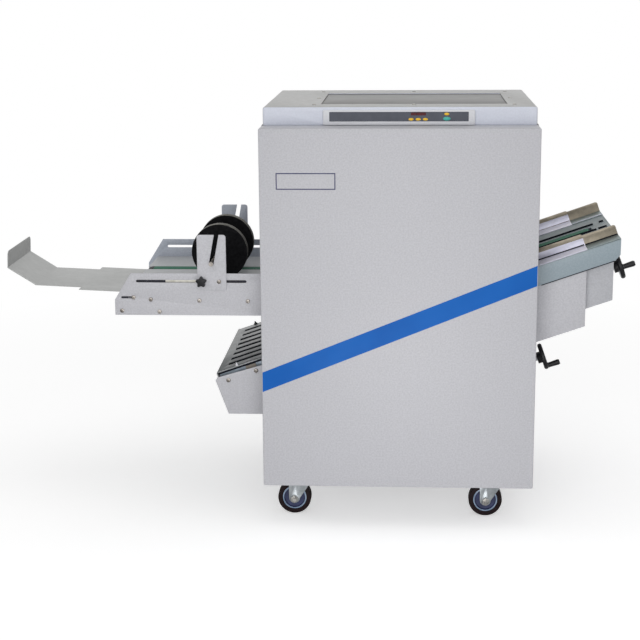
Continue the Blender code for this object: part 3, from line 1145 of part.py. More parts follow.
def make_press():
    bracket_in = SIDE_OUTER + GAP
    bracket_out = bracket_in + BRACKET_THICK
    knob_in = bracket_out + GAP
    for side, side_y in (("front", -1), ("rear", 1)):
        low_y, high_y = sorted((side_y * bracket_in, side_y * bracket_out))
        bracket = upright(f"press_bracket_{side}", [bracket_loop()], low_y, high_y, machine)
        head_in = (KNOB_X, side_y * (SIDE_INNER - GAP), PRESS_SLOT_Z)
        head_end = (KNOB_X, side_y * (SIDE_INNER - GAP - BOLT_HEAD), PRESS_SLOT_Z)
        stud_start = (KNOB_X, side_y * (SIDE_INNER - GAP - BOLT_HEAD / 2), PRESS_SLOT_Z)
        stud_end = (KNOB_X, side_y * (knob_in + KNOB_BORE - GAP), PRESS_SLOT_Z)
        unite(bracket,
              rod(f"bolt_{side}", BOLT_RADIUS, stud_start, stud_end, machine, cutters, steps=3 * ARC_STEPS),
              rod(f"bolt_head_{side}", BOLT_HEAD_RADIUS, head_in, head_end, machine, cutters, steps=6))
        paint(bracket, PAINT)
        axis = (KNOB_X, side_y * knob_in, PRESS_SLOT_Z)
        low_y, high_y = sorted((side_y * knob_in, side_y * (knob_in + KNOB_THICK)))
        knob = upright(f"bracket_knob_{side}", [knob_loop()], low_y, high_y, machine, None, axis)
        cut(knob, rod(f"knob_bore_{side}", BOLT_RADIUS + GAP,
                      (KNOB_X, side_y * bracket_out, PRESS_SLOT_Z),
                      (KNOB_X, side_y * (knob_in + KNOB_BORE), PRESS_SLOT_Z), machine, cutters,
                      steps=3 * ARC_STEPS))
        paint(knob, BLACK)
        half, edge = PRESS_DISC_HALF, PRESS_DISC_ROUND
        bore = PRESS_SHAFT_RADIUS + GAP
        rim = PRESS_DISC_RADIUS
        profile = [(bore, half), (rim - edge, half)]
        profile += [(rim - edge + edge * sin(share), half - edge + edge * cos(share))
                    for share in (pi / 6, pi / 3, pi / 2)]
        profile += [(radius, -height) for radius, height in reversed(profile)]
        paint(turned(f"press_disc_{side}", profile, (PRESS_X, side_y * DELIVERY_BELT_Y, PRESS_Z), (0, 1, 0),
                     machine), FOAM)
    paint(rod("press_shaft", PRESS_SHAFT_RADIUS, (PRESS_X, -PRESS_SHAFT_REACH, PRESS_Z),
              (PRESS_X, PRESS_SHAFT_REACH, PRESS_Z), machine), BRIGHT)


# Lower tray: a slotted plate in the same slope as the bed, between two side plates
TRAY_OUT = 0.1197
TRAY_EDGE = 0.0095
TRAY_LIP = 0.054
TRAY_SLOT_BACK = 0.0229
TRAY_SLOT_IN = 0.0557
TRAY_SLOT_PITCH = 0.0478
TRAY_SLOT_COUNT = 8
TRAY_SHOULDER_OUT = 0.1115
TRAY_SHOULDER_BELOW = 0.1529
TRAY_NOSE_OUT = 0.1153
TRAY_NOSE_BELOW = 0.1599
TRAY_RISE_BELOW = 0.1199
TRAY_FOOT_OUT = 0.0867
TRAY_LEFT = -COVER_ALONG - TRAY_OUT
TRAY_HALF = SIDE_INNER - TRAY_EDGE
TRAY_SLOT_LEFT = TRAY_LEFT + TRAY_SLOT_BACK
TRAY_SLOT_RIGHT = TRAY_SLOT_IN - COVER_ALONG
TRAY_SIDE_TOP_LEFT_X = -HALF_WIDTH - TRAY_SHOULDER_OUT
TRAY_SIDE_TOP_LEFT_Z = BED_HEIGHT - TRAY_SHOULDER_BELOW
TRAY_SIDE_NOSE_X = -HALF_WIDTH - TRAY_NOSE_OUT
TRAY_SIDE_NOSE_Z = BED_HEIGHT - TRAY_NOSE_BELOW
TRAY_SIDE_EDGE_Z = BED_HEIGHT - TRAY_RISE_BELOW
TRAY_SIDE_FOOT_X = -HALF_WIDTH - TRAY_FOOT_OUT


def make_tray():
    tray = block("lower_tray", (TRAY_LEFT, -TRAY_HALF, -PLATE), (BED_LEFT - GAP, TRAY_HALF, 0), bed)
    unite(tray, block("tray_lip", (TRAY_LEFT, -SIDE_INNER + GAP, -TRAY_LIP),
                      (TRAY_LEFT + PLATE, SIDE_INNER - GAP, -GAP), bed, cutters))
    for number in range(TRAY_SLOT_COUNT):
        middle = (number - (TRAY_SLOT_COUNT - 1) / 2) * TRAY_SLOT_PITCH
        cut(tray, block(f"tray_slot_{number}", (TRAY_SLOT_LEFT, middle - STOP_SLOT / 2, -PLATE - OVERRUN),
                        (TRAY_SLOT_RIGHT, middle + STOP_SLOT / 2, OVERRUN), bed, cutters))
    paint(tray, ZINC)
    rise = (TRAY_SIDE_EDGE_Z - TRAY_SIDE_TOP_LEFT_Z) / (-HALF_WIDTH - TRAY_SIDE_TOP_LEFT_X)
    tab_z = TRAY_SIDE_EDGE_Z + rise * (PLATE_TAB + HALF_WIDTH)
    shape = [(TRAY_SIDE_FOOT_X, TRAY_SIDE_BOTTOM), (PLATE_TAB, TRAY_SIDE_BOTTOM), (PLATE_TAB, tab_z),
             (TRAY_SIDE_TOP_LEFT_X, TRAY_SIDE_TOP_LEFT_Z), (TRAY_SIDE_NOSE_X, TRAY_SIDE_NOSE_Z)]
    for side, side_y in (("front", -1), ("rear", 1)):
        low_y, high_y = sorted((side_y * SIDE_OUTER, side_y * SIDE_INNER))
        paint(upright(f"tray_side_{side}", [shape], low_y, high_y, machine), PAINT)


# Motor on the floor of the frame
MOTOR_X = 0.090
MOTOR_Y = 0.090
MOTOR_RADIUS = 0.045
MOTOR_HALF = 0.070
MOTOR_SHAFT_RADIUS = 0.007
MOTOR_SHAFT = 0.034
MOTOR_PULLEY_RADIUS = 0.020
MOTOR_PULLEY = 0.014
MOTOR_FOOT = 0.006


def make_motor():
    foot_low = FRAME_FLOOR + GAP
    axis_z = foot_low + MOTOR_FOOT + MOTOR_RADIUS
    end = MOTOR_Y + MOTOR_HALF
    motor = rod("main_motor", MOTOR_RADIUS, (MOTOR_X, MOTOR_Y - MOTOR_HALF, axis_z), (MOTOR_X, end, axis_z),
                machine, steps=TURN_STEPS)
    unite(motor,
          block("motor_foot", (MOTOR_X - MOTOR_RADIUS, MOTOR_Y - MOTOR_HALF + MOTOR_FOOT, foot_low),
                (MOTOR_X + MOTOR_RADIUS, end - MOTOR_FOOT, foot_low + 2 * MOTOR_FOOT), machine, cutters),
          rod("motor_shaft", MOTOR_SHAFT_RADIUS, (MOTOR_X, MOTOR_Y, axis_z),
              (MOTOR_X, end + MOTOR_SHAFT, axis_z), machine, cutters),
          rod("motor_pulley", MOTOR_PULLEY_RADIUS, (MOTOR_X, end + MOTOR_SHAFT - MOTOR_PULLEY, axis_z),
              (MOTOR_X, end + MOTOR_SHAFT - MOTOR_FOOT / 2, axis_z), machine, cutters))
    paint(motor, MOTOR)


make_frame()
for castor_name, castor_x, castor_y in (("front_left", -1, -1), ("front_right", 1, -1),
                                        ("rear_left", -1, 1), ("rear_right", 1, 1)):
    make_castor(castor_name, castor_x, castor_y)
make_side_plates()
make_bed()
make_stapler()
make_fold_unit()
make_handwheel("upper_handwheel", UPPER_WHEEL_ALONG, UPPER_SCREW_DROP, UPPER_SCREW_END, (-1, 0))
make_stop("staple_stop", STAPLE_STOP_REST, UPPER_SCREW_DROP, STOP_BAR_BELOW, STOP_FINGER_Y, STOP_BAR)
make_handwheel("lower_handwheel", LOWER_WHEEL_ALONG, LOWER_SCREW_DROP, LOWER_SCREW_END, (0, -1))
make_stop("fold_stop", FOLD_STOP_REST, LOWER_SCREW_DROP, STOP_BAR_BELOW, 3 * TRAY_SLOT_PITCH / 2, STOP_BAR)
make_motor()
make_tray()
make_delivery_plates()
make_delivery_deck()
make_delivery_rollers()
make_tongue()
make_press()
make_infeed_table()
make_side_guides()
make_guards()
make_front_and_rear_covers()
make_side_covers()
make_lid()
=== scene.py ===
import json
from math import cos, pi, radians, sin

import bmesh
import bpy
from mathutils import Matrix, Vector

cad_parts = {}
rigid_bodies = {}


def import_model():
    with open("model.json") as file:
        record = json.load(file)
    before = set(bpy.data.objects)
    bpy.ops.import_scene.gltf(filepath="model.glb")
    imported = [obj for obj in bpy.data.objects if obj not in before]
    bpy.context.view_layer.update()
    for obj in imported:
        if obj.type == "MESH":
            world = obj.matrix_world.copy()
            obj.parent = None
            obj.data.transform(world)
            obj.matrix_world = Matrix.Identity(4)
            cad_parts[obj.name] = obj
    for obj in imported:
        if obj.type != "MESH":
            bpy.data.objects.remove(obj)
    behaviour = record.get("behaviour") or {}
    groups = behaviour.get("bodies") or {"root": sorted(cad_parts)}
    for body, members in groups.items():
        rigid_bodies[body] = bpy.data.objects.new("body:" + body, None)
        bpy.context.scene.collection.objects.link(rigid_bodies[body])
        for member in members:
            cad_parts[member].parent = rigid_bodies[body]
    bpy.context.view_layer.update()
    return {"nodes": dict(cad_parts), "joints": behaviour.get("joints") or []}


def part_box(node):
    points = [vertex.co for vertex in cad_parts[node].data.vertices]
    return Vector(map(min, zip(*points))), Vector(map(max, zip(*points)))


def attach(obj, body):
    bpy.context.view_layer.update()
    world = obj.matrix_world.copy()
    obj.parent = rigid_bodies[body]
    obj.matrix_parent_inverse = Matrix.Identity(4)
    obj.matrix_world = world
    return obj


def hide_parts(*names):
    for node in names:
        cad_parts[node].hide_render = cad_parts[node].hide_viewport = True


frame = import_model()
nodes = frame["nodes"]


# The camera stands in front of the cabinet, a little above its lid, and looks down and slightly to
# the left, as the photographer did, with a long lens and no shift.
CAMERA_TURN, CAMERA_DIP, CAMERA_ROLL = 0.0630, 0.2257, -0.0076
CAMERA_PLACE = (0.226926, -3.5229, 1.2179)
FOCAL_PIXELS, PICTURE_PIXELS, SENSOR_WIDE = 1511.3, 640, 36
bpy.ops.object.select_all(action="DESELECT")
bpy.ops.object.camera_add(location=CAMERA_PLACE)
camera = bpy.context.object
camera.name = "photo_camera"
camera.rotation_euler = (Matrix.Rotation(CAMERA_TURN, 3, "Z") @ Matrix.Rotation(pi / 2 - CAMERA_DIP, 3, "X")
                         @ Matrix.Rotation(CAMERA_ROLL, 3, "Z")).to_euler()
camera.data.sensor_width = SENSOR_WIDE
camera.data.lens = FOCAL_PIXELS * SENSOR_WIDE / PICTURE_PIXELS
bpy.context.scene.camera = camera


# Welded base frame: folded steel channels under the same light grey powder coat as the covers,
# with a square pad under each corner that a castor's plate is bolted to.
def photo_colour(red, green, blue):
    """A colour as seen on a screen, turned into the shader's linear numbers."""
    parts = []
    for level in (red, green, blue):
        level = level / 255
        parts.append(level / 12.92 if level <= 0.04045 else ((level + 0.055) / 1.055) ** 2.4)
    return (*parts, 1)


def new_finish(name, metallic=0.0, roughness=0.5):
    material = bpy.data.materials.new(name)
    material.use_nodes = True
    shader = material.node_tree.nodes["Principled BSDF"]
    shader.inputs["Metallic"].default_value = metallic
    shader.inputs["Roughness"].default_value = roughness
    return material


def grain(material, scale, stretch=(1, 1, 1), detail=3.0, turn=(0, 0, 0)):
    """Noise in the object's own space; returns the socket that carries it."""
    tree = material.node_tree
    where = tree.nodes.new("ShaderNodeTexCoord")
    mapping = tree.nodes.new("ShaderNodeMapping")
    mapping.inputs["Scale"].default_value = stretch
    mapping.inputs["Rotation"].default_value = turn
    noise = tree.nodes.new("ShaderNodeTexNoise")
    noise.inputs["Scale"].default_value = scale
    noise.inputs["Detail"].default_value = detail
    tree.links.new(where.outputs["Object"], mapping.inputs["Vector"])
    tree.links.new(mapping.outputs["Vector"], noise.inputs["Vector"])
    return noise.outputs["Fac"]


def tint(material, source, low, high, start=0.35, end=0.65):
    """The source drives the colour from low to high."""
    tree = material.node_tree
    ramp = tree.nodes.new("ShaderNodeValToRGB")
    ramp.color_ramp.elements[0].position = start
    ramp.color_ramp.elements[0].color = low
    ramp.color_ramp.elements[1].position = end
    ramp.color_ramp.elements[1].color = high
    tree.links.new(source, ramp.inputs["Fac"])
    tree.links.new(ramp.outputs["Color"], tree.nodes["Principled BSDF"].inputs["Base Color"])
    return ramp


def gloss(material, source, low, high, start=0.3, end=0.7):
    """The source drives the roughness from low to high."""
    tree = material.node_tree
    span = tree.nodes.new("ShaderNodeMapRange")
    span.inputs["From Min"].default_value = start
    span.inputs["From Max"].default_value = end
    span.inputs["To Min"].default_value = low
    span.inputs["To Max"].default_value = high
    tree.links.new(source, span.inputs["Value"])
    tree.links.new(span.outputs["Result"], tree.nodes["Principled BSDF"].inputs["Roughness"])


def relief(material, source, height, strength=1.0):
    """The source raises the surface by up to this height in metres."""
    tree = material.node_tree
    bump = tree.nodes.new("ShaderNodeBump")
    bump.inputs["Distance"].default_value = height
    bump.inputs["Strength"].default_value = strength
    tree.links.new(source, bump.inputs["Height"])
    tree.links.new(bump.outputs["Normal"], tree.nodes["Principled BSDF"].inputs["Normal"])


def powder_coat(name, low, high, roughness=(0.40, 0.52)):
    """Baked powder paint: an even colour with a fine orange-peel skin."""
    material = new_finish(name)
    tint(material, grain(material, 280, detail=5), low, high)
    gloss(material, grain(material, 60), *roughness)
    relief(material, grain(material, 520, detail=2), 0.00012)
    return material


def wear(node_names, material):
    """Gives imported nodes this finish."""
    for name in node_names:
        node = nodes[name]
        node.data.materials.clear()
        node.data.materials.append(material)


def rounded_copy(node_name, body, material, edge=0.0006, steps=2, angle=35):
    """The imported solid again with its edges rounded, to stand for it."""
    bpy.ops.object.select_all(action="DESELECT")
    nodes[node_name].select_set(True)
    bpy.context.view_layer.objects.active = nodes[node_name]
    bpy.ops.object.duplicate()
    piece = bpy.context.object
    piece.name = node_name + "_finished"
    bpy.ops.object.parent_clear(type="CLEAR_KEEP_TRANSFORM")
    bpy.ops.object.mode_set(mode="EDIT")
    bpy.ops.mesh.select_all(action="SELECT")
    bpy.ops.mesh.remove_doubles(threshold=0.00001)
    bpy.ops.mesh.dissolve_limited(angle_limit=radians(1))
    bpy.ops.object.mode_set(mode="OBJECT")
    soften = piece.modifiers.new("rounded edges", "BEVEL")
    soften.width = edge
    soften.segments = steps
    soften.limit_method = "ANGLE"
    soften.angle_limit = radians(angle)
    soften.harden_normals = False
    bpy.ops.object.modifier_apply(modifier=soften.name)
    bpy.ops.object.shade_smooth_by_angle(angle=radians(30))
    piece.data.materials.clear()
    piece.data.materials.append(material)
    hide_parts(node_name)
    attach(piece, body)
    return piece


cover_coat = powder_coat("light_grey_powder_coat", photo_colour(186, 186, 191), photo_colour(198, 198, 203))
wear(["frame"], cover_coat)


# Castors: zinc plated forks with a through bolt and nut, on wheels with a dark rubber tyre
# moulded round a dished blue-grey rim. The wheel turns on the bolt, the fork under its pad.
TYRE_RADIUS = 0.0381
TYRE_WIDE = 0.026
TREAD_ROUND = 0.0032
RIM_RADIUS = 0.0274
RIM_WIDE = 0.0226
RIM_LIP = 0.0250
NUT_RADIUS = 0.0090
NUT_THICK = 0.0050
NUT_OUT = 0.0015


def zinc_plated(name, low, high, roughness=(0.28, 0.46), skin=0.00003):
    """Zinc on rolled steel: a faint cloudy spangle and a slightly uneven shine."""
    material = new_finish(name, metallic=0.85)
    tint(material, grain(material, 90, detail=6), low, high, 0.3, 0.7)
    gloss(material, grain(material, 35, detail=5), *roughness)
    relief(material, grain(material, 700), skin)
    return material


def moulded_rubber(name, low, high, roughness=(0.55, 0.75)):
    """Moulded rubber with a dusty bloom."""
    material = new_finish(name)
    tint(material, grain(material, 45, detail=5), low, high)
    gloss(material, grain(material, 120), *roughness)
    relief(material, grain(material, 900), 0.00008)
    return material


def pick_faces(test):
    """In edit mode, leaves only the faces that pass the test selected."""
    bpy.ops.mesh.select_mode(type="FACE")
    bpy.ops.mesh.select_all(action="DESELECT")
    form = bmesh.from_edit_mesh(bpy.context.object.data)
    for face in form.faces:
        face.select_set(test(face))
    bmesh.update_edit_mesh(bpy.context.object.data)


def step_in(*steps):
    """Insets the picked faces once for each pair: how far inwards, and how far out of the face."""
    for inwards, outwards in steps:
        bpy.ops.mesh.inset(thickness=inwards, depth=outwards)


def settle(piece, body, material, stands_for=None, smooth=30):
    """Applies the piece's place and gives it its finish and its body."""
    if bpy.context.object.mode == "EDIT":
        bpy.ops.object.mode_set(mode="OBJECT")
    bpy.ops.object.select_all(action="DESELECT")
    piece.select_set(True)
    bpy.context.view_layer.objects.active = piece
    bpy.ops.object.transform_apply(location=True, rotation=True, scale=True)
    if smooth:
        bpy.ops.object.shade_smooth_by_angle(angle=radians(smooth))
    piece.data.materials.clear()
    piece.data.materials.append(material)
    if stands_for:
        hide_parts(*stands_for)
    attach(piece, body)
    return piece


def both_ends(face):
    """The two flat ends of a newly made cylinder."""
    return abs(face.normal.z) > 0.9


def top_end(face):
    """The upper flat end of a newly made cylinder."""
    return face.normal.z > 0.9


fork_zinc = zinc_plated("fork_zinc", photo_colour(150, 156, 160), photo_colour(188, 193, 196))
tyre_skin = moulded_rubber("castor_tyre", photo_colour(18, 7, 10), photo_colour(30, 14, 18))
tyre_skin.node_tree.nodes["Principled BSDF"].inputs["Specular IOR Level"].default_value = 0.2
bolt_zinc = zinc_plated("bolt_zinc", photo_colour(150, 150, 148), photo_colour(214, 212, 206), (0.22, 0.34))
rim_skin = new_finish("castor_rim")
tint(rim_skin, grain(rim_skin, 60), photo_colour(30, 38, 74), photo_colour(46, 56, 98))
gloss(rim_skin, grain(rim_skin, 90), 0.32, 0.45)
relief(rim_skin, grain(rim_skin, 500), 0.00003)
rim_edge = new_finish("castor_rim_edge")
tint(rim_edge, grain(rim_edge, 60), photo_colour(128, 150, 178), photo_colour(160, 178, 200))
gloss(rim_edge, grain(rim_edge, 90), 0.28, 0.40)
relief(rim_edge, grain(rim_edge, 500), 0.00003)
for corner in ("front_left", "front_right", "rear_left", "rear_right"):
    fork_name, wheel_name = "castor_fork_" + corner, "castor_wheel_" + corner
    rounded_copy(fork_name, "castor_" + corner, fork_zinc, edge=0.0005)
    low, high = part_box(wheel_name)
    centre = (Vector(low) + Vector(high)) / 2
    bpy.ops.object.select_all(action="DESELECT")
    bpy.ops.mesh.primitive_cylinder_add(vertices=72, radius=TYRE_RADIUS, depth=TYRE_WIDE,
                                        location=centre, rotation=(pi / 2, 0, 0))
    tyre = bpy.context.object
    tyre.name = "tyre_" + corner
    bpy.ops.object.mode_set(mode="EDIT")
    pick_faces(both_ends)
    step_in((0.0035, 0), (0.0065, 0.0009), (0.0006, -0.0018), (0.0002, -0.0065))
    bpy.ops.object.mode_set(mode="OBJECT")
    tread = tyre.modifiers.new("rounded tread", "BEVEL")
    tread.width = TREAD_ROUND
    tread.segments = 4
    tread.limit_method = "ANGLE"
    tread.angle_limit = radians(60)
    settle(tyre, "wheel_" + corner, tyre_skin, [wheel_name], smooth=40)
    bpy.ops.object.modifier_apply(modifier=tread.name)
    bpy.ops.object.select_all(action="DESELECT")
    bpy.ops.mesh.primitive_cylinder_add(vertices=72, radius=RIM_RADIUS, depth=RIM_WIDE, location=centre,
                                        rotation=(pi / 2, 0, 0))
    rim = bpy.context.object
    rim.name = "rim_" + corner
    bpy.ops.object.mode_set(mode="EDIT")
    pick_faces(both_ends)
    step_in((0.0030, 0.0008), (0.0016, -0.0040), (0.0110, -0.0004), (0.0015, 0.0036))
    bpy.ops.object.mode_set(mode="OBJECT")
    settle(rim, "wheel_" + corner, rim_skin, [wheel_name], smooth=25)
    rim.data.materials.append(rim_edge)
    for face in rim.data.polygons:
        reach = max(Vector((v.x - centre.x, v.z - centre.z)).length
                    for v in (rim.data.vertices[index].co for index in face.vertices))
        face.material_index = 1 if reach > RIM_LIP else 0
    nut_place = (centre.x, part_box(fork_name)[0][1] - NUT_OUT, centre.z)
    bpy.ops.object.select_all(action="DESELECT")
    bpy.ops.mesh.primitive_cylinder_add(vertices=6, radius=NUT_RADIUS, depth=NUT_THICK, location=nut_place,
                                        rotation=(pi / 2, 0, 0.3))
    nut = bpy.context.object
    nut.name = "axle_nut_" + corner
    bpy.ops.object.mode_set(mode="EDIT")
    pick_faces(top_end)
    step_in((0.0012, 0.0007), (0.0020, 0), (0.0001, 0.0024), (0.0008, 0.0007))
    settle(nut, "castor_" + corner, bolt_zinc, smooth=0)


# Inside pieces: two upright steel side plates with the sloping bed between them, the stapler's bar
# and heads, the bright fold knife, rubber covered rollers, the motor in its enamel, and the zinc
# plated stops that run on the screws.
rolled_steel = zinc_plated("rolled_steel", photo_colour(120, 124, 128), photo_colour(150, 153, 157),
                           (0.35, 0.5))
bed_steel = zinc_plated("bed_steel", photo_colour(150, 151, 150), photo_colour(176, 177, 176), (0.22, 0.36))
bright_bar = zinc_plated("bright_bar", photo_colour(176, 178, 182), photo_colour(205, 207, 210), (0.14, 0.24))
roller_skin = moulded_rubber("roller_rubber_skin", photo_colour(66, 66, 72), photo_colour(84, 84, 90))
enamel = powder_coat("motor_enamel", photo_colour(76, 84, 94), photo_colour(94, 104, 114))
wear(["front_side_plate", "rear_side_plate"], rolled_steel)
wear(["bed_plate"], bed_steel)
wear(["fold_knife", "stapler_bar"], bright_bar)
wear(["fold_roller_a", "fold_roller_b", "delivery_drive_roller", "infeed_drive_roller",
      "infeed_tail_roller", "delivery_tail_roller"], roller_skin)
wear(["main_motor"], enamel)
for side in ("front", "rear"):
    rounded_copy("stapler_head_" + side, "stapler", rolled_steel, edge=0.0008)
rounded_copy("staple_stop", "staple_stop_body", fork_zinc, edge=0.0005)
rounded_copy("fold_stop", "fold_stop_body", fork_zinc, edge=0.0005)


# Front and rear covers: deep pans folded from sheet steel with rounded corners and powder coated.
# Flat side covers close the gap between them, with the openings for the table, belts and tray.
for node_name in ("front_cover", "rear_cover"):
    rounded_copy(node_name, "machine", cover_coat, edge=0.0007)
for node_name in ("left_cover", "right_cover"):
    rounded_copy(node_name, "machine", cover_coat, edge=0.0003, steps=1)


# Blue stripe: one strip of glossy vinyl stuck across the front cover, parallel to the paper's way
# through the machine, and trimmed flush with the cover's two upright edges.
cover_low, cover_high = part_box("front_cover")
MIDDLE = (cover_low[0] + cover_high[0]) / 2
FRONT_FACE = cover_low[1]
COVER_CORNER = 0.0016
STRIPE_ANGLE = radians(22.07)
STRIPE_WIDE = 0.0414
STRIPE_LONG = 0.72
STRIPE_ASIDE = 0.00025
STRIPE_HEIGHT = 0.4588
VINYL = 0.00015
stripe_vinyl = new_finish("blue_vinyl")
tint(stripe_vinyl, grain(stripe_vinyl, 9), photo_colour(6, 92, 178), photo_colour(14, 99, 186))
stripe_vinyl.node_tree.nodes["Principled BSDF"].inputs["Specular IOR Level"].default_value = 0.15
gloss(stripe_vinyl, grain(stripe_vinyl, 40), 0.30, 0.40)
relief(stripe_vinyl, grain(stripe_vinyl, 520, detail=2), 0.00005)
bpy.ops.object.select_all(action="DESELECT")
bpy.ops.mesh.primitive_plane_add(size=1, location=(MIDDLE + STRIPE_ASIDE, FRONT_FACE, STRIPE_HEIGHT),
                                 rotation=(pi / 2, -STRIPE_ANGLE, 0))
stripe = bpy.context.object
stripe.name = "blue_stripe"
stripe.scale = (STRIPE_LONG, STRIPE_WIDE, 1)
bpy.ops.object.transform_apply(location=True, rotation=True, scale=True)
bpy.ops.object.mode_set(mode="EDIT")
for edge_x, outward in ((cover_low[0] + COVER_CORNER, -1), (cover_high[0] - COVER_CORNER, 1)):
    bpy.ops.mesh.select_all(action="SELECT")
    bpy.ops.mesh.bisect(plane_co=(edge_x, 0, 0), plane_no=(outward, 0, 0), clear_outer=True)
bpy.ops.mesh.select_all(action="SELECT")
bpy.ops.mesh.extrude_region_move(TRANSFORM_OT_translate={"value": (0, -VINYL, 0)})
bpy.ops.mesh.select_all(action="SELECT")
bpy.ops.mesh.normals_make_consistent(inside=False)
settle(stripe, "machine", stripe_vinyl, smooth=0)


# Name plate: one thin line of dark blue ink round a rectangle of bare paint, printed on the front
# cover at its upper left.
LABEL_PLACE = (MIDDLE - 0.1993, FRONT_FACE, 0.7836)
LABEL_SIZE = (0.1282, 0.0360)
LABEL_LINE = 0.0023
outline_ink = new_finish("dark_blue_ink", roughness=0.4)
tint(outline_ink, grain(outline_ink, 300), photo_colour(38, 38, 84), photo_colour(50, 50, 98))
relief(outline_ink, grain(outline_ink, 700), 0.00002)
bpy.ops.object.select_all(action="DESELECT")
bpy.ops.mesh.primitive_plane_add(size=1, location=LABEL_PLACE, rotation=(pi / 2, 0, 0))
outline = bpy.context.object
outline.name = "label_outline"
outline.scale = (*LABEL_SIZE, 1)
bpy.ops.object.transform_apply(location=True, rotation=True, scale=True)
bpy.ops.object.mode_set(mode="EDIT")
bpy.ops.mesh.select_all(action="SELECT")
bpy.ops.mesh.inset(thickness=LABEL_LINE, depth=0)
bpy.ops.mesh.delete(type="FACE")
bpy.ops.mesh.select_all(action="SELECT")
bpy.ops.mesh.extrude_region_move(TRANSFORM_OT_translate={"value": (0, -VINYL, 0)})
bpy.ops.mesh.select_all(action="SELECT")
bpy.ops.mesh.normals_make_consistent(inside=False)
settle(outline, "machine", outline_ink, smooth=0)


# Lid: a shallow folded steel tray turned over the covers, with a bezel pressed out of its front
# and a smoked pane let into the top. The bezel's paint is a little warmer than the tray's front.
# The tray is one paint in two colours: painted light makes its front lighter and bluer, and painted
# shade makes its top darker.
BEZEL_START = -0.2414
lid_top_shade_coat = powder_coat("lid_top_painted_shade_coat", photo_colour(167, 167, 166), photo_colour(173, 173, 171),
                       (0.34, 0.46))
lid_front_painted_light_coat = powder_coat("lid_front_painted_light_coat", photo_colour(217, 221, 233), photo_colour(222, 226, 238),
                             (0.3, 0.4))
bezel_coat = powder_coat("bezel_coat", photo_colour(222, 223, 228), photo_colour(227, 228, 232), (0.4, 0.5))
lid = rounded_copy("top_lid", "machine", lid_top_shade_coat, edge=0.0010, steps=3)
lid.data.materials.append(bezel_coat)
lid.data.materials.append(lid_front_painted_light_coat)
# Front faces take the painted light colour; the top and the rest take the painted shade colour.
for face in lid.data.polygons:
    if face.center.y < BEZEL_START:
        face.material_index = 1
    elif face.normal.y < -0.5:
        face.material_index = 2
    else:
        face.material_index = 0
pane_smoke = new_finish("smoked_pane_sheet")
tint(pane_smoke, grain(pane_smoke, 5), photo_colour(73, 72, 70), photo_colour(79, 78, 76))
gloss(pane_smoke, grain(pane_smoke, 25), 0.34, 0.38)
relief(pane_smoke, grain(pane_smoke, 300), 0.00001)
rounded_copy("top_window", "machine", pane_smoke, edge=0.0004)


# Pan head screws: turned steel with a small round recess, zinc plated. The same screw stands round
# the pane and holds the delivery and tray plates; it is modelled once, upright, and copied.
LID_SCREW_X = (-0.188, 0.031, 0.250)
LID_SCREW_Y = (-0.1845, -0.0115, 0.1805)
LID_SCREW_RADIUS = 0.0044
screw_zinc = zinc_plated("screw_zinc", photo_colour(112, 107, 102), photo_colour(180, 174, 168), (0.2, 0.34))
bpy.ops.object.select_all(action="DESELECT")
bpy.ops.mesh.primitive_cylinder_add(vertices=32, radius=1.0, depth=0.5, location=(0, 0, 0.25))
screw_master = bpy.context.object
screw_master.name = "screw_master"
bpy.ops.object.mode_set(mode="EDIT")
pick_faces(top_end)
step_in((0.14, 0.10), (0.26, 0.08), (0.34, 0.015), (0.04, -0.22))
pick_faces(lambda face: face.normal.z < -0.9)
bpy.ops.mesh.delete(type="FACE")
bpy.ops.object.mode_set(mode="OBJECT")
bpy.ops.object.shade_smooth_by_angle(angle=radians(40))


def fit_screw(name, place, radius, turn=(0, 0, 0), body="machine", material=None):
    """A copy of the screw, scaled to its size, turned to its face and set in place."""
    bpy.ops.object.select_all(action="DESELECT")
    screw_master.select_set(True)
    bpy.context.view_layer.objects.active = screw_master
    bpy.ops.object.duplicate()
    screw = bpy.context.object
    screw.name = name
    screw.scale = (radius, radius, radius)
    screw.rotation_euler = turn
    screw.location = place
    return settle(screw, body, material or screw_zinc, smooth=0)


TOP_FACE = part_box("top_lid")[1][2]
lid_screw_zinc = zinc_plated("lid_screw_zinc", photo_colour(150, 148, 144), photo_colour(196, 194, 190),
                             (0.3, 0.4))
round_pane = [(x, y) for x in LID_SCREW_X for y in LID_SCREW_Y if (x, y) != (LID_SCREW_X[1], LID_SCREW_Y[1])]
for number, (screw_x, screw_y) in enumerate(round_pane, 1):
    fit_screw(f"lid_screw_{number}", (MIDDLE + screw_x, screw_y, TOP_FACE), LID_SCREW_RADIUS,
              material=lid_screw_zinc)


# Control panel: a dark membrane glued on the bezel, with a red display window on it. Five moulded
# plastic keys, four yellow and one green, stand out through it and travel inwards.
BEZEL_FACE = -0.2498
FILM_THICK = 0.0003
FILM_SIZE = (0.3000, 0.0205)
FILM_PLACE = (MIDDLE - 0.0012, BEZEL_FACE, 0.91525)
DISPLAY_THICK = 0.0002
DISPLAY_SIZE = (0.0323, 0.0066)
DISPLAY_PLACE = (MIDDLE + 0.04095, BEZEL_FACE - FILM_THICK, 0.9211)
panel_film = new_finish("panel_membrane", roughness=0.38)
tint(panel_film, grain(panel_film, 40), photo_colour(58, 62, 76), photo_colour(66, 70, 84))
relief(panel_film, grain(panel_film, 1100), 0.00002)
display_red = new_finish("display_window", roughness=0.12)
tint(display_red, grain(display_red, 260, stretch=(3.2, 1, 0.5)), photo_colour(62, 2, 12),
     photo_colour(98, 6, 20), 0.45, 0.62)
display_red.node_tree.nodes["Principled BSDF"].inputs["Specular IOR Level"].default_value = 0.2


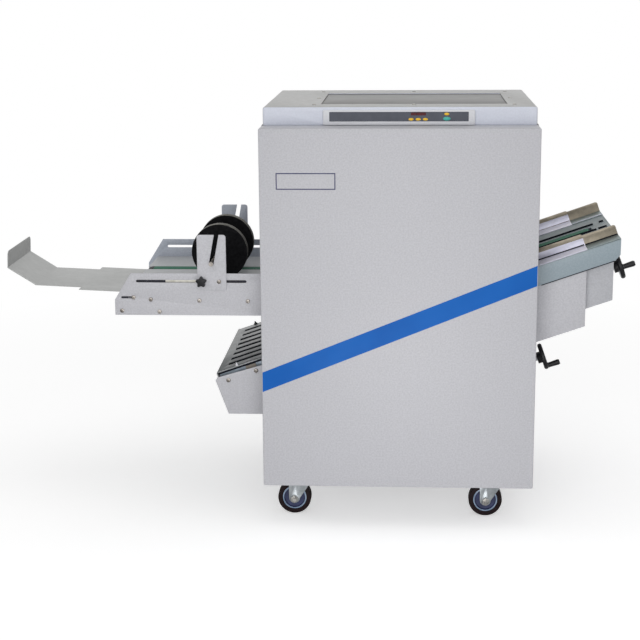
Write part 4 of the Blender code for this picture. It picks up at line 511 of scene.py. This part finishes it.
def film_patch(name, centre, size, thick, corner, material):
    """A thin flat patch on an upright face, with rounded corners."""
    bpy.ops.object.select_all(action="DESELECT")
    bpy.ops.mesh.primitive_plane_add(size=1, location=centre, rotation=(pi / 2, 0, 0))
    patch = bpy.context.object
    patch.name = name
    patch.scale = (*size, 1)
    bpy.ops.object.transform_apply(location=True, rotation=True, scale=True)
    bpy.ops.object.mode_set(mode="EDIT")
    bpy.ops.mesh.select_all(action="SELECT")
    bpy.ops.mesh.bevel(offset=corner, segments=4, affect="VERTICES")
    bpy.ops.mesh.select_all(action="SELECT")
    bpy.ops.mesh.extrude_region_move(TRANSFORM_OT_translate={"value": (0, -thick, 0)})
    bpy.ops.mesh.select_all(action="SELECT")
    bpy.ops.mesh.normals_make_consistent(inside=False)
    return settle(patch, "machine", material, smooth=0)


film_patch("panel_film", FILM_PLACE, FILM_SIZE, FILM_THICK, 0.0012, panel_film)
film_patch("display_window", DISPLAY_PLACE, DISPLAY_SIZE, DISPLAY_THICK, 0.0005, display_red)
key_yellow = new_finish("yellow_key", roughness=0.35)
tint(key_yellow, grain(key_yellow, 300), photo_colour(248, 192, 12), photo_colour(254, 204, 24))
relief(key_yellow, grain(key_yellow, 1500), 0.00002)
key_green = new_finish("green_key", roughness=0.35)
tint(key_green, grain(key_green, 300), photo_colour(44, 174, 160), photo_colour(56, 188, 172))
relief(key_green, grain(key_green, 1500), 0.00002)
for key, material, slot in (("left", key_yellow, "button_yellow"), ("middle", key_yellow, "button_yellow"),
                            ("right", key_yellow, "button_yellow"), ("upper", key_yellow, "button_yellow"),
                            ("start", key_green, "button_green")):
    rounded_copy("button_" + key, f"button_{key}_body", material, edge=0.0007, steps=3, angle=50)


# Delivery: two coated side plates screwed to the machine, a deck between them, and two green
# conveyor belts, painted black at their left end as the tail roller's shade, that carry the booklets out
# under the press discs.
PLATE_FACE = 0.2245
BRACKET_FACE = PLATE_FACE + 0.0028
PLATE_SCREW_RADIUS = 0.0047
PLATE_SCREWS = ((-0.5577, 0.504), (-0.4473, 0.502), (-0.3378, 0.501),
                (-0.6235, 0.478), (-0.5384, 0.476), (-0.5965, 0.5085))
BRACKET_SCREW_PLACE = (-0.4015, 0.546)
BRACKET_SCREW_RADIUS = 0.0048
BELT_SHADE_EDGE = MIDDLE - 0.5990
BELT_SHADE_SOFTEN = 0.0010
deck_coat = powder_coat("delivery_deck_coat", photo_colour(178, 180, 182), photo_colour(186, 188, 190))
belt_weave = new_finish("green_conveyor_belt", roughness=0.55)
tint(belt_weave, grain(belt_weave, 420, stretch=(1, 3, 1)), photo_colour(4, 88, 62),
     photo_colour(14, 106, 78))
belt_weave.node_tree.nodes["Principled BSDF"].inputs["Specular IOR Level"].default_value = 0.2
relief(belt_weave, grain(belt_weave, 900), 0.00010)
# The rear plate takes the covers' paint made bluer and cooler: painted shade on the far side.
rear_painted_shade_coat = powder_coat("rear_painted_shade_powder_coat", photo_colour(172, 178, 190), photo_colour(183, 189, 200))
for side, coat in (("front", cover_coat), ("rear", rear_painted_shade_coat)):
    rounded_copy("delivery_plate_" + side, "machine", coat, edge=0.0005)
rounded_copy("delivery_deck", "machine", deck_coat, edge=0.0003, steps=1)
wear(["infeed_belt"], belt_weave)
# The belts' left end is painted black: painted shade of the tail roller, blended in over a short edge.
belt_with_shaded_end = belt_weave.copy()
belt_with_shaded_end.name = "delivery_belt_painted_shade_end"
tree = belt_with_shaded_end.node_tree
where = tree.nodes.new("ShaderNodeTexCoord")
split = tree.nodes.new("ShaderNodeSeparateXYZ")
shade_blend_range = tree.nodes.new("ShaderNodeMapRange")
shade_blend_range.inputs["From Min"].default_value = BELT_SHADE_EDGE
shade_blend_range.inputs["From Max"].default_value = BELT_SHADE_EDGE + BELT_SHADE_SOFTEN
blend = tree.nodes.new("ShaderNodeMix")
blend.data_type = "RGBA"
blend.inputs[6].default_value = photo_colour(12, 14, 16)
shader = tree.nodes["Principled BSDF"]
tree.links.new(where.outputs["Object"], split.inputs["Vector"])
tree.links.new(split.outputs["X"], shade_blend_range.inputs["Value"])
tree.links.new(shade_blend_range.outputs["Result"], blend.inputs["Factor"])
tree.links.new(shader.inputs["Base Color"].links[0].from_socket, blend.inputs[7])
tree.links.new(blend.outputs[2], shader.inputs["Base Color"])
wear(["delivery_belt_front", "delivery_belt_rear"], belt_with_shaded_end)
for side, facing in (("front", -1), ("rear", 1)):
    turn = (-facing * pi / 2, 0, 0)
    for number, (screw_x, screw_z) in enumerate(PLATE_SCREWS):
        fit_screw(f"delivery_screw_{side}_{number}", (MIDDLE + screw_x, facing * PLATE_FACE, screw_z),
                  PLATE_SCREW_RADIUS, turn)
    screw_x, screw_z = BRACKET_SCREW_PLACE
    fit_screw(f"bracket_screw_{side}", (MIDDLE + screw_x, facing * BRACKET_FACE, screw_z),
              BRACKET_SCREW_RADIUS, turn, "press_carrier")


# Slot channel: folded zinc plated sheet, riveted on behind the front plate's long slot, and the clamp
# bolt's head runs in it. Its two ends are painted black as shade in the slot. A short black strip of painted
# shade closes the tension slot.
CHANNEL_PLACE = (MIDDLE - 0.465, -0.2176, 0.546)
CHANNEL_SIZE = (0.262, 0.014)
CHANNEL_DEEP = 0.0046
CHANNEL_SHEET = 0.0006
CHANNEL_FLAT = 0.001
STRIP_PLACE = (MIDDLE - 0.6178, -0.2213, 0.5085)
STRIP_SIZE = (0.0194, 0.0085)
channel_zinc = zinc_plated("channel_zinc", photo_colour(196, 194, 184), photo_colour(216, 214, 206),
                           (0.4, 0.55))
slot_shade_black = new_finish("slot_painted_shade_black", roughness=0.5)
tint(slot_shade_black, grain(slot_shade_black, 200), photo_colour(16, 16, 30), photo_colour(28, 28, 46))
relief(slot_shade_black, grain(slot_shade_black, 700), 0.00003)
LEFT_SHADE_END, RIGHT_SHADE_START = MIDDLE - 0.524, MIDDLE - 0.392
bpy.ops.object.select_all(action="DESELECT")
bpy.ops.mesh.primitive_plane_add(size=1, location=CHANNEL_PLACE, rotation=(pi / 2, 0, 0))
channel = bpy.context.object
channel.name = "slot_channel"
channel.scale = (*CHANNEL_SIZE, 1)
bpy.ops.object.transform_apply(location=True, rotation=True, scale=True)
bpy.ops.object.mode_set(mode="EDIT")
for cut_x in (LEFT_SHADE_END, RIGHT_SHADE_START):
    bpy.ops.mesh.select_all(action="SELECT")
    bpy.ops.mesh.bisect(plane_co=(cut_x, 0, 0), plane_no=(1, 0, 0))
bpy.ops.mesh.select_mode(type="EDGE")
bpy.ops.mesh.select_all(action="DESELECT")
form = bmesh.from_edit_mesh(channel.data)
for edge in form.edges:
    one, two = (vertex.co for vertex in edge.verts)
    edge.select_set(abs(one.z - two.z) < CHANNEL_FLAT)
bmesh.update_edit_mesh(channel.data)
bpy.ops.mesh.extrude_edges_move(TRANSFORM_OT_translate={"value": (0, -CHANNEL_DEEP, 0)})
bpy.ops.object.mode_set(mode="OBJECT")
sheet = channel.modifiers.new("sheet", "SOLIDIFY")
sheet.thickness = CHANNEL_SHEET
sheet.offset = 0
settle(channel, "machine", channel_zinc, smooth=0)
bpy.ops.object.modifier_apply(modifier=sheet.name)
channel.data.materials.append(slot_shade_black)
# Faces beyond the middle stretch take the black: painted shade at the channel's two ends.
for face in channel.data.polygons:
    face.material_index = 0 if LEFT_SHADE_END < face.center.x < RIGHT_SHADE_START else 1
film_patch("tension_slot_shade", STRIP_PLACE, STRIP_SIZE, 0.0010, 0.0004, slot_shade_black)


# Stacker tongue: one piece of zinc plated sheet that slides in and out under the deck on two arms,
# rises to a bend and ends in an upright plate that stops the booklets.
tongue_zinc = zinc_plated("tongue_zinc", photo_colour(166, 167, 166), photo_colour(172, 173, 172),
                          (0.46, 0.54), skin=0.000008)
rounded_copy("stacker_tongue", "tongue", tongue_zinc, edge=0.0004)


# Press: two foam discs, grey at the rim, stand on the belts and hold the booklets down; the grey is partly
# wear and partly a painted highlight on the tread. Their zinc plated shaft lifts in the slots of two
# brackets, each clamped to its plate by a star knob.
DISC_RADIUS = 0.065
DISC_WIDE = 0.025
DISC_ROUND = 0.0020
GREY_RIM_FROM = DISC_RADIUS - 0.0010
foam = new_finish("black_foam_face")
tint(foam, grain(foam, 160, detail=6), photo_colour(13, 13, 15), photo_colour(26, 26, 28))
gloss(foam, grain(foam, 90), 0.75, 0.95)
foam.node_tree.nodes["Principled BSDF"].inputs["Specular IOR Level"].default_value = 0.12
relief(foam, grain(foam, 420, detail=6), 0.00035)
rim_wear_and_highlight = new_finish("foam_rim_wear_and_painted_highlight")
tint(rim_wear_and_highlight, grain(rim_wear_and_highlight, 120, detail=6), photo_colour(74, 73, 68), photo_colour(118, 116, 108))
gloss(rim_wear_and_highlight, grain(rim_wear_and_highlight, 90), 0.6, 0.8)
relief(rim_wear_and_highlight, grain(rim_wear_and_highlight, 420, detail=6), 0.00035)
star_black = new_finish("black_star_knob")
star_black.node_tree.nodes["Principled BSDF"].inputs["Specular IOR Level"].default_value = 0.3
tint(star_black, grain(star_black, 200), photo_colour(14, 14, 17), photo_colour(24, 24, 28))
gloss(star_black, grain(star_black, 150), 0.28, 0.42)
relief(star_black, grain(star_black, 900), 0.00004)
# The rear bracket takes the same bluer painted shade as the rear plate.
for side, coat in (("front", cover_coat), ("rear", rear_painted_shade_coat)):
    rounded_copy("press_bracket_" + side, "press_carrier", coat, edge=0.0004)
    rounded_copy("bracket_knob_" + side, "knob_" + side, star_black, edge=0.0012, steps=3)
    low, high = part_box("press_disc_" + side)
    centre = (Vector(low) + Vector(high)) / 2
    bpy.ops.object.select_all(action="DESELECT")
    bpy.ops.mesh.primitive_cylinder_add(vertices=144, radius=DISC_RADIUS, depth=DISC_WIDE, location=centre,
                                        rotation=(pi / 2, 0, 0))
    disc = bpy.context.object
    disc.name = "foam_disc_" + side
    bpy.ops.object.mode_set(mode="EDIT")
    pick_faces(both_ends)
    step_in((0.0022, 0), (0.0400, -0.0002), (0.0006, -0.0016), (0.0060, 0), (0.0010, 0.0012))
    bpy.ops.object.mode_set(mode="OBJECT")
    settle(disc, "disc_" + side, foam, ["press_disc_" + side], smooth=0)
    disc.data.materials.append(rim_wear_and_highlight)
    soften = disc.modifiers.new("rounded rim", "BEVEL")
    soften.width = DISC_ROUND
    soften.segments = 4
    soften.limit_method = "ANGLE"
    soften.angle_limit = radians(60)
    bpy.ops.object.modifier_apply(modifier=soften.name)
    bpy.ops.object.shade_smooth_by_angle(angle=radians(40))
    # Tread faces near the rim take the grey: partly wear, partly a painted highlight on the tread.
    for face in disc.data.polygons:
        reach = Vector((face.center.x - centre.x, face.center.z - centre.z)).length
        face.material_index = 1 if reach > GREY_RIM_FROM and abs(face.normal.y) < 0.8 else 0
wear(["press_shaft"], screw_zinc)


# Lower tray: a slotted zinc plated sheet in line with the bed, where the sheets' leading edges meet
# the stops. Its two coated sides are screwed on, and the walls of its slots are painted black as shade.
TRAY_SCREWS = ((-0.3855, 0.3175), (-0.3223, 0.3404))
TRAY_SCREW_RADIUS = 0.0050
TRAY_INSIDE = 0.205
tray_zinc = zinc_plated("tray_zinc", photo_colour(126, 128, 129), photo_colour(142, 143, 144), (0.36, 0.46),
                        skin=0.00001)
tray = rounded_copy("lower_tray", "machine", tray_zinc, edge=0.0004)
# This black stands for painted shade in the slots, gaps and lines below, and for the black rails by the belt.
black_parts_and_painted_shade = moulded_rubber("black_parts_and_painted_shade", photo_colour(14, 15, 24), photo_colour(24, 26, 36), (0.8, 0.95))
black_parts_and_painted_shade.node_tree.nodes["Principled BSDF"].inputs["Specular IOR Level"].default_value = 0.15
tray.data.materials.append(black_parts_and_painted_shade)
# Slot walls inside the tray take the black as painted shade.
for face in tray.data.polygons:
    face.material_index = 1 if abs(face.normal.y) > 0.5 and abs(face.center.y) < TRAY_INSIDE else 0
for side, facing in (("front", -1), ("rear", 1)):
    rounded_copy("tray_side_" + side, "machine", cover_coat, edge=0.0005)
    for number, (screw_x, screw_z) in enumerate(TRAY_SCREWS):
        fit_screw(f"tray_screw_{side}_{number}", (MIDDLE + screw_x, facing * PLATE_FACE, screw_z),
                  TRAY_SCREW_RADIUS, (-facing * pi / 2, 0, 0))


# Tray edges: the plate's long edges are folded down, with a dark strip of painted shade in the gap under
# them and a small cork block glued on them, and a thumb screw stands by each: bright in front, black behind.
# Black strips of painted shade lie under the slots and along their edges.
BED_TILT = radians(19.2)
BED_RISE = 0.4759
TRAY_LEFT = -0.4340
SLOT_STEP = 0.0478
SLOT_HALF = 0.0055
SLOT_LEFT = -0.4150
SLOT_RIGHT = -0.3250
FINGER_STOP = -0.3570
THUMB_RADIUS = 0.0046
THUMB_TALL = 0.0026
THUMB_ALONG, THUMB_ACROSS = -0.3885, 0.2075


def bed_point(along, y, up):
    """A place on the sloping bed: along it, across it and above it."""
    return Vector((MIDDLE + along * cos(BED_TILT) - up * sin(BED_TILT), y,
                   BED_RISE + along * sin(BED_TILT) + up * cos(BED_TILT)))


def bed_strip(name, along, across, up, body, material, edge=0.0002):
    """A flat strip that lies with the bed, with softened edges."""
    bpy.ops.object.select_all(action="DESELECT")
    bpy.ops.mesh.primitive_plane_add(size=1, location=bed_point(sum(along) / 2, sum(across) / 2, up[0]),
                                     rotation=(0, -BED_TILT, 0))
    strip = bpy.context.object
    strip.name = name
    strip.scale = (along[1] - along[0], across[1] - across[0], 1)
    bpy.ops.object.transform_apply(location=True, rotation=True, scale=True)
    bpy.ops.object.mode_set(mode="EDIT")
    bpy.ops.mesh.select_all(action="SELECT")
    rise = bed_point(0, 0, up[1]) - bed_point(0, 0, up[0])
    bpy.ops.mesh.extrude_region_move(TRANSFORM_OT_translate={"value": rise})
    bpy.ops.mesh.select_all(action="SELECT")
    bpy.ops.mesh.normals_make_consistent(inside=False)
    bpy.ops.mesh.bevel(offset=edge, segments=1)
    return settle(strip, body, material, smooth=0)


strip_zinc = zinc_plated("edge_strip_zinc", photo_colour(120, 130, 140), photo_colour(150, 160, 170))
cork_and_painted_shade = moulded_rubber("cork_block_and_painted_shade", photo_colour(112, 106, 98), photo_colour(138, 130, 120))
thumb_bright = zinc_plated("thumb_screw_zinc", photo_colour(190, 190, 195), photo_colour(225, 225, 230),
                           (0.2, 0.3))
thumb_dark = new_finish("thumb_screw_black", roughness=0.4)
tint(thumb_dark, grain(thumb_dark, 300), photo_colour(30, 32, 36), photo_colour(48, 50, 54))
relief(thumb_dark, grain(thumb_dark, 900), 0.00003)
for side, facing, thumb in (("front", -1, thumb_bright), ("rear", 1, thumb_dark)):
    bed_strip("tray_edge_fold_" + side, (TRAY_LEFT, -0.3190), sorted((facing * 0.2126, facing * 0.2114)),
              (-0.0320, -0.0023), "machine", strip_zinc)
    bed_strip("tray_edge_shade_" + side, (TRAY_LEFT + 0.0005, -0.3195),
              sorted((facing * 0.2142, facing * 0.2128)), (-0.0062, -0.0024), "machine",
              black_parts_and_painted_shade)
    bed_strip("tray_edge_block_" + side, (-0.3700, -0.3460), sorted((facing * 0.2160, facing * 0.2129)),
              (-0.0180, -0.0066), "machine", cork_and_painted_shade)
    bpy.ops.object.select_all(action="DESELECT")
    bpy.ops.mesh.primitive_cylinder_add(vertices=40, radius=THUMB_RADIUS, depth=THUMB_TALL,
                                        location=bed_point(THUMB_ALONG, facing * THUMB_ACROSS, 0.0015),
                                        rotation=(0, -BED_TILT, 0))
    screw = bpy.context.object
    screw.name = "tray_thumb_screw_" + side
    bpy.ops.object.mode_set(mode="EDIT")
    pick_faces(top_end)
    step_in((0.0008, 0.0005), (0.0018, 0), (0.0001, 0.0036), (0.0007, 0.0006))
    settle(screw, "machine", thumb)
for number in range(8):
    middle = (number - 3.5) * SLOT_STEP
    inner_end = FINGER_STOP if number in (2, 5) else SLOT_RIGHT
    bed_strip(f"slot_shade_strip_{number}", (SLOT_LEFT, inner_end), (middle - SLOT_HALF, middle + SLOT_HALF),
              (-0.0034, -0.0023), "machine", black_parts_and_painted_shade)
    for edge, near, far in (("front", -0.0086, -0.0057), ("rear", 0.0057, 0.0086)):
        bed_strip(f"slot_edge_{edge}_{number}", (SLOT_LEFT + 0.0010, SLOT_RIGHT + 0.0010),
                  (middle + near, middle + far), (0.0001, 0.0004), "machine",
                  black_parts_and_painted_shade, edge=0.0001)


# Infeed table: a channel of blue-grey painted sheet that slopes down into the cabinet, slotted for
# the belt and the side guides; its faces that look up off the bed are coloured a darker grey. Black rails lie
# by the belt, and a black line of painted shade runs along the apron's foot.
apron_coat = powder_coat("blue_grey_table_coat", photo_colour(144, 158, 166), photo_colour(152, 166, 174),
                         (0.32, 0.42))
table = rounded_copy("infeed_table", "machine", apron_coat, edge=0.0005)
table_top = powder_coat("grey_table_top", photo_colour(126, 136, 138), photo_colour(134, 144, 146),
                        (0.4, 0.5))
table.data.materials.append(table_top)
for face in table.data.polygons:
    face.material_index = 1 if face.normal.dot(bed_point(0, 0, 1) - bed_point(0, 0, 0)) > 0.9 else 0
for side, middle, start in (("front", -0.036, 0.4860), ("rear", 0.036, 0.4960)):
    for part, along, low in (("long", (0.3003, 0.4816), -0.0018), ("short", (start, 0.5062), 0.0001)):
        bed_strip(f"table_rail_{part}_{side}", along, (middle - 0.0018, middle + 0.0018), (low, 0.0038),
                  "machine", black_parts_and_painted_shade, edge=0.0005)
bed_strip("apron_shade_line", (0.3190, 0.4870), (-0.2249, -0.2243), (-0.0430, -0.0412), "machine",
          black_parts_and_painted_shade)


# Side guides: each fence is folded from two stainless sheets. On the inner one the lower part carries a
# painted reflection and the foot a whiter painted glare; its upper edge and the outer sheet are painted
# darker as shade.
# Lines of painted shade lie along the feet.
GUIDE_JOINT = 0.4390
GUIDE_SHINE = 0.0185
GUIDE_FOOT = 0.0024
GUIDE_LEFT, GUIDE_RIGHT = 0.2905, 0.5144
stainless_painted_shade = zinc_plated("stainless_painted_shade", photo_colour(124, 117, 104), photo_colour(138, 130, 116),
                             (0.36, 0.46), skin=0.000008)
grey_stainless = zinc_plated("grey_stainless", photo_colour(126, 136, 136), photo_colour(138, 148, 148),
                             (0.36, 0.46), skin=0.000008)
stainless_painted_reflection = zinc_plated("stainless_painted_reflection", photo_colour(200, 200, 214), photo_colour(210, 210, 224),
                               (0.34, 0.42), skin=0.000006)
stainless_painted_reflection.node_tree.nodes["Principled BSDF"].inputs["Metallic"].default_value = 0.5
foot_painted_glare = zinc_plated("foot_painted_glare", photo_colour(236, 234, 246), photo_colour(246, 244, 254),
                             (0.34, 0.42), skin=0.000006)
foot_painted_glare.node_tree.nodes["Principled BSDF"].inputs["Metallic"].default_value = 0.3
along_bed = bed_point(1, 0, 0) - bed_point(0, 0, 0)
off_bed = bed_point(0, 0, 1) - bed_point(0, 0, 0)
for side in ("front", "rear"):
    fence = rounded_copy("side_guide_" + side, "guide_" + side, stainless_painted_reflection, edge=0.0003)
    bpy.ops.object.mode_set(mode="EDIT")
    bpy.ops.mesh.select_all(action="SELECT")
    bpy.ops.mesh.bisect(plane_co=bed_point(0, 0, GUIDE_SHINE), plane_no=off_bed)
    bpy.ops.mesh.select_all(action="SELECT")
    bpy.ops.mesh.bisect(plane_co=bed_point(GUIDE_JOINT, 0, 0), plane_no=along_bed)
    bpy.ops.object.mode_set(mode="OBJECT")
    fence.data.materials.append(stainless_painted_shade)
    fence.data.materials.append(grey_stainless)
    fence.data.materials.append(foot_painted_glare)
    # Inner lower faces take the painted reflection, its up-facing foot the painted glare; the rest is painted
    # shade, the outer foot grey.
    for face in fence.data.polygons:
        from_bed = face.center - bed_point(0, 0, 0)
        along = from_bed.dot(along_bed)
        up = from_bed.dot(off_bed)
        if up > GUIDE_SHINE or (along > GUIDE_JOINT and up > GUIDE_FOOT):
            face.material_index = 1
        elif along > GUIDE_JOINT:
            face.material_index = 2
        else:
            face.material_index = 3 if face.normal.dot(off_bed) > 0.9 else 0
# A strip of the painted reflection lies along the rear fence's edge, and a brownish strip of painted shade at
# its foot.
bed_strip("guide_edge_rear", (0.4396, GUIDE_RIGHT), (0.1127, 0.1135), (0.0022, 0.0042), "guide_rear",
          stainless_painted_reflection)
bed_strip("guide_shade_line_rear", (GUIDE_LEFT, 0.4370), (0.1677, 0.1684), (0.0022, 0.0034), "guide_rear",
          cork_and_painted_shade)
# Black strips of painted shade lie at the front fence's foot.
for part, along, fence_y in (("inner", (GUIDE_LEFT, 0.4392), -0.1705),
                             ("outer", (0.4396, GUIDE_RIGHT), -0.1725)):
    bed_strip(f"guide_shade_line_{part}", along, (fence_y - 0.0012, fence_y - 0.0001), (0.0022, 0.0046),
              "guide_front", black_parts_and_painted_shade)


# Guards: two boxes folded from coated sheet, open at the back, that cover the setting screws under
# the table. The outer one is coloured a little darker.
outer_coat = powder_coat("outer_guard_coat", photo_colour(176, 177, 182), photo_colour(187, 188, 193))
for side, coat in (("inner", cover_coat), ("outer", outer_coat)):
    rounded_copy("infeed_guard_" + side, "machine", coat, edge=0.0006)


# Handwheels: black moulded wheels pinned to the bright setting screws, each with a grip that has a
# ring at its foot and a sleeve round it. One revolution moves its stop by the screw's lead.
GRIP_ARM = 0.0235
GRIP_FOOT = 0.005
SCREW_REACH = 0.0062
wheel_black = new_finish("black_handwheel")
wheel_black.node_tree.nodes["Principled BSDF"].inputs["Specular IOR Level"].default_value = 0.3
tint(wheel_black, grain(wheel_black, 220), photo_colour(12, 12, 15), photo_colour(26, 26, 30))
gloss(wheel_black, grain(wheel_black, 130), 0.30, 0.46)
relief(wheel_black, grain(wheel_black, 800), 0.00005)
for level, body in (("upper", "upper_screw"), ("lower", "lower_screw")):
    node_name = level + "_handwheel"
    wheel = rounded_copy(node_name, body, wheel_black, edge=0.0008, steps=2)
    wheel.data.materials.append(bright_bar)
    joint = [j for j in frame["joints"] if j["name"] == f"{level}_handwheel_turn"][0]
    axis, pivot = Vector(joint["axis"]).normalized(), Vector(joint["pos_m"])
    for face in wheel.data.polygons:
        offset = face.center - pivot
        along = offset.dot(axis)
        reach = (offset - axis * along).length
        face.material_index = 1 if along < -0.004 and reach < SCREW_REACH else 0
    lower_arm = bed_point(0, 0, -GRIP_ARM) - bed_point(0, 0, 0)
    to_grip = Vector((0, -GRIP_ARM, 0)) if level == "upper" else lower_arm
    seat = pivot + to_grip + axis * GRIP_FOOT
    tilt = axis.to_track_quat("Z", "Y").to_euler()
    bpy.ops.object.select_all(action="DESELECT")
    bpy.ops.mesh.primitive_cylinder_add(vertices=32, radius=0.0062, depth=0.0012,
                                        location=seat + axis * 0.0009, rotation=tilt)
    ring = bpy.context.object
    ring.name = level + "_grip_ring"
    bpy.ops.object.mode_set(mode="EDIT")
    pick_faces(both_ends)
    step_in((0.0005, 0.0003))
    settle(ring, body, thumb_dark)
    bpy.ops.object.select_all(action="DESELECT")
    bpy.ops.mesh.primitive_cone_add(vertices=32, radius1=0.0056, radius2=0.0066, depth=0.0215,
                                    location=seat + axis * 0.0128, rotation=tilt)
    sleeve = bpy.context.object
    sleeve.name = level + "_grip_sleeve"
    bpy.ops.object.mode_set(mode="EDIT")
    pick_faces(top_end)
    step_in((0.0008, 0.0013), (0.0012, 0.0008))
    settle(sleeve, body, wheel_black)


# Studio: a pale floor that keeps the machine's shadow and turns white away from it. A large soft lamp
# stands in front, a softer one hangs above, a low one lifts the cabinet's foot, and all round is white.
FLOOR_LIFT = 0.46
FLOOR_REACH = 2.3
SURROUND_LEVEL = 0.475
floor_paint = bpy.data.materials.new("studio_floor")
floor_paint.use_nodes = True
tree = floor_paint.node_tree
tree.nodes.clear()
output = tree.nodes.new("ShaderNodeOutputMaterial")
matte = tree.nodes.new("ShaderNodeBsdfDiffuse")
matte.inputs["Color"].default_value = (0.90, 0.90, 0.90, 1)
lift = tree.nodes.new("ShaderNodeEmission")
lift.inputs["Color"].default_value = (1, 1, 1, 1)
lift.inputs["Strength"].default_value = FLOOR_LIFT
white = tree.nodes.new("ShaderNodeEmission")
white.inputs["Color"].default_value = (1, 1, 1, 1)
both = tree.nodes.new("ShaderNodeAddShader")
tree.links.new(matte.outputs["BSDF"], both.inputs[0])
tree.links.new(lift.outputs["Emission"], both.inputs[1])
where = tree.nodes.new("ShaderNodeTexCoord")
centring = tree.nodes.new("ShaderNodeMapping")
centring.vector_type = "TEXTURE"
centring.inputs["Location"].default_value = (MIDDLE - 0.15, 0.1, 0)
centring.inputs["Scale"].default_value = (FLOOR_REACH, FLOOR_REACH, FLOOR_REACH)
fade = tree.nodes.new("ShaderNodeTexGradient")
fade.gradient_type = "SPHERICAL"
ramp = tree.nodes.new("ShaderNodeMapRange")
ramp.inputs["From Min"].default_value = 0.0
ramp.inputs["From Max"].default_value = 0.5
tree.links.new(where.outputs["Object"], centring.inputs["Vector"])
tree.links.new(centring.outputs["Vector"], fade.inputs["Vector"])
tree.links.new(fade.outputs["Fac"], ramp.inputs["Value"])
near_mix = tree.nodes.new("ShaderNodeMixShader")
tree.links.new(ramp.outputs["Result"], near_mix.inputs["Fac"])
tree.links.new(white.outputs["Emission"], near_mix.inputs[1])
tree.links.new(both.outputs["Shader"], near_mix.inputs[2])
path = tree.nodes.new("ShaderNodeLightPath")
camera_mix = tree.nodes.new("ShaderNodeMixShader")
tree.links.new(path.outputs["Is Camera Ray"], camera_mix.inputs["Fac"])
tree.links.new(matte.outputs["BSDF"], camera_mix.inputs[1])
tree.links.new(near_mix.outputs["Shader"], camera_mix.inputs[2])
tree.links.new(camera_mix.outputs["Shader"], output.inputs["Surface"])
bpy.ops.object.select_all(action="DESELECT")
bpy.ops.mesh.primitive_plane_add(size=160, location=(0, 0, -0.0004))
floor = bpy.context.object
floor.name = "studio_floor"
floor.data.materials.append(floor_paint)

for name, place, wide, tall, power, aim_at in (
        ("front_lamp", (-0.1, -5.2, 0.85), 4.2, 4.2, 106, 0.45),
        ("top_lamp", (0.4, -0.6, 3.4), 2.6, 2.6, 13, 0.45),
        ("low_lamp", (MIDDLE + 0.05, -1.30, 0.06), 0.60, 0.10, 1.9, 0.06)):
    bpy.ops.object.select_all(action="DESELECT")
    bpy.ops.object.light_add(type="AREA", location=place)
    lamp = bpy.context.object
    lamp.name = name
    lamp.data.shape = "RECTANGLE"
    lamp.data.size = wide
    lamp.data.size_y = tall
    lamp.data.energy = power
    aim = Vector((MIDDLE, 0, aim_at)) - Vector(place)
    lamp.rotation_euler = aim.to_track_quat("-Z", "Y").to_euler()

surround = bpy.data.worlds.new("white_surround")
bpy.context.scene.world = surround
surround.use_nodes = True
tree = surround.node_tree
back = tree.nodes["Background"]
back.inputs["Color"].default_value = (1, 1, 1, 1)
path = tree.nodes.new("ShaderNodeLightPath")
seen = tree.nodes.new("ShaderNodeMath")
seen.operation = "MAXIMUM"
clear = tree.nodes.new("ShaderNodeMath")
clear.operation = "MAXIMUM"
level = tree.nodes.new("ShaderNodeMapRange")
level.inputs["To Min"].default_value = SURROUND_LEVEL
level.inputs["To Max"].default_value = 1.0
tree.links.new(path.outputs["Is Camera Ray"], seen.inputs[0])
tree.links.new(path.outputs["Is Glossy Ray"], seen.inputs[1])
tree.links.new(seen.outputs["Value"], clear.inputs[0])
tree.links.new(path.outputs["Is Transmission Ray"], clear.inputs[1])
tree.links.new(clear.outputs["Value"], level.inputs["Value"])
tree.links.new(level.outputs["Result"], back.inputs["Strength"])
bpy.context.scene.view_settings.view_transform = "Standard"

# The upright pattern that the screws were copied from is no piece of the machine.
bpy.data.objects.remove(screw_master)
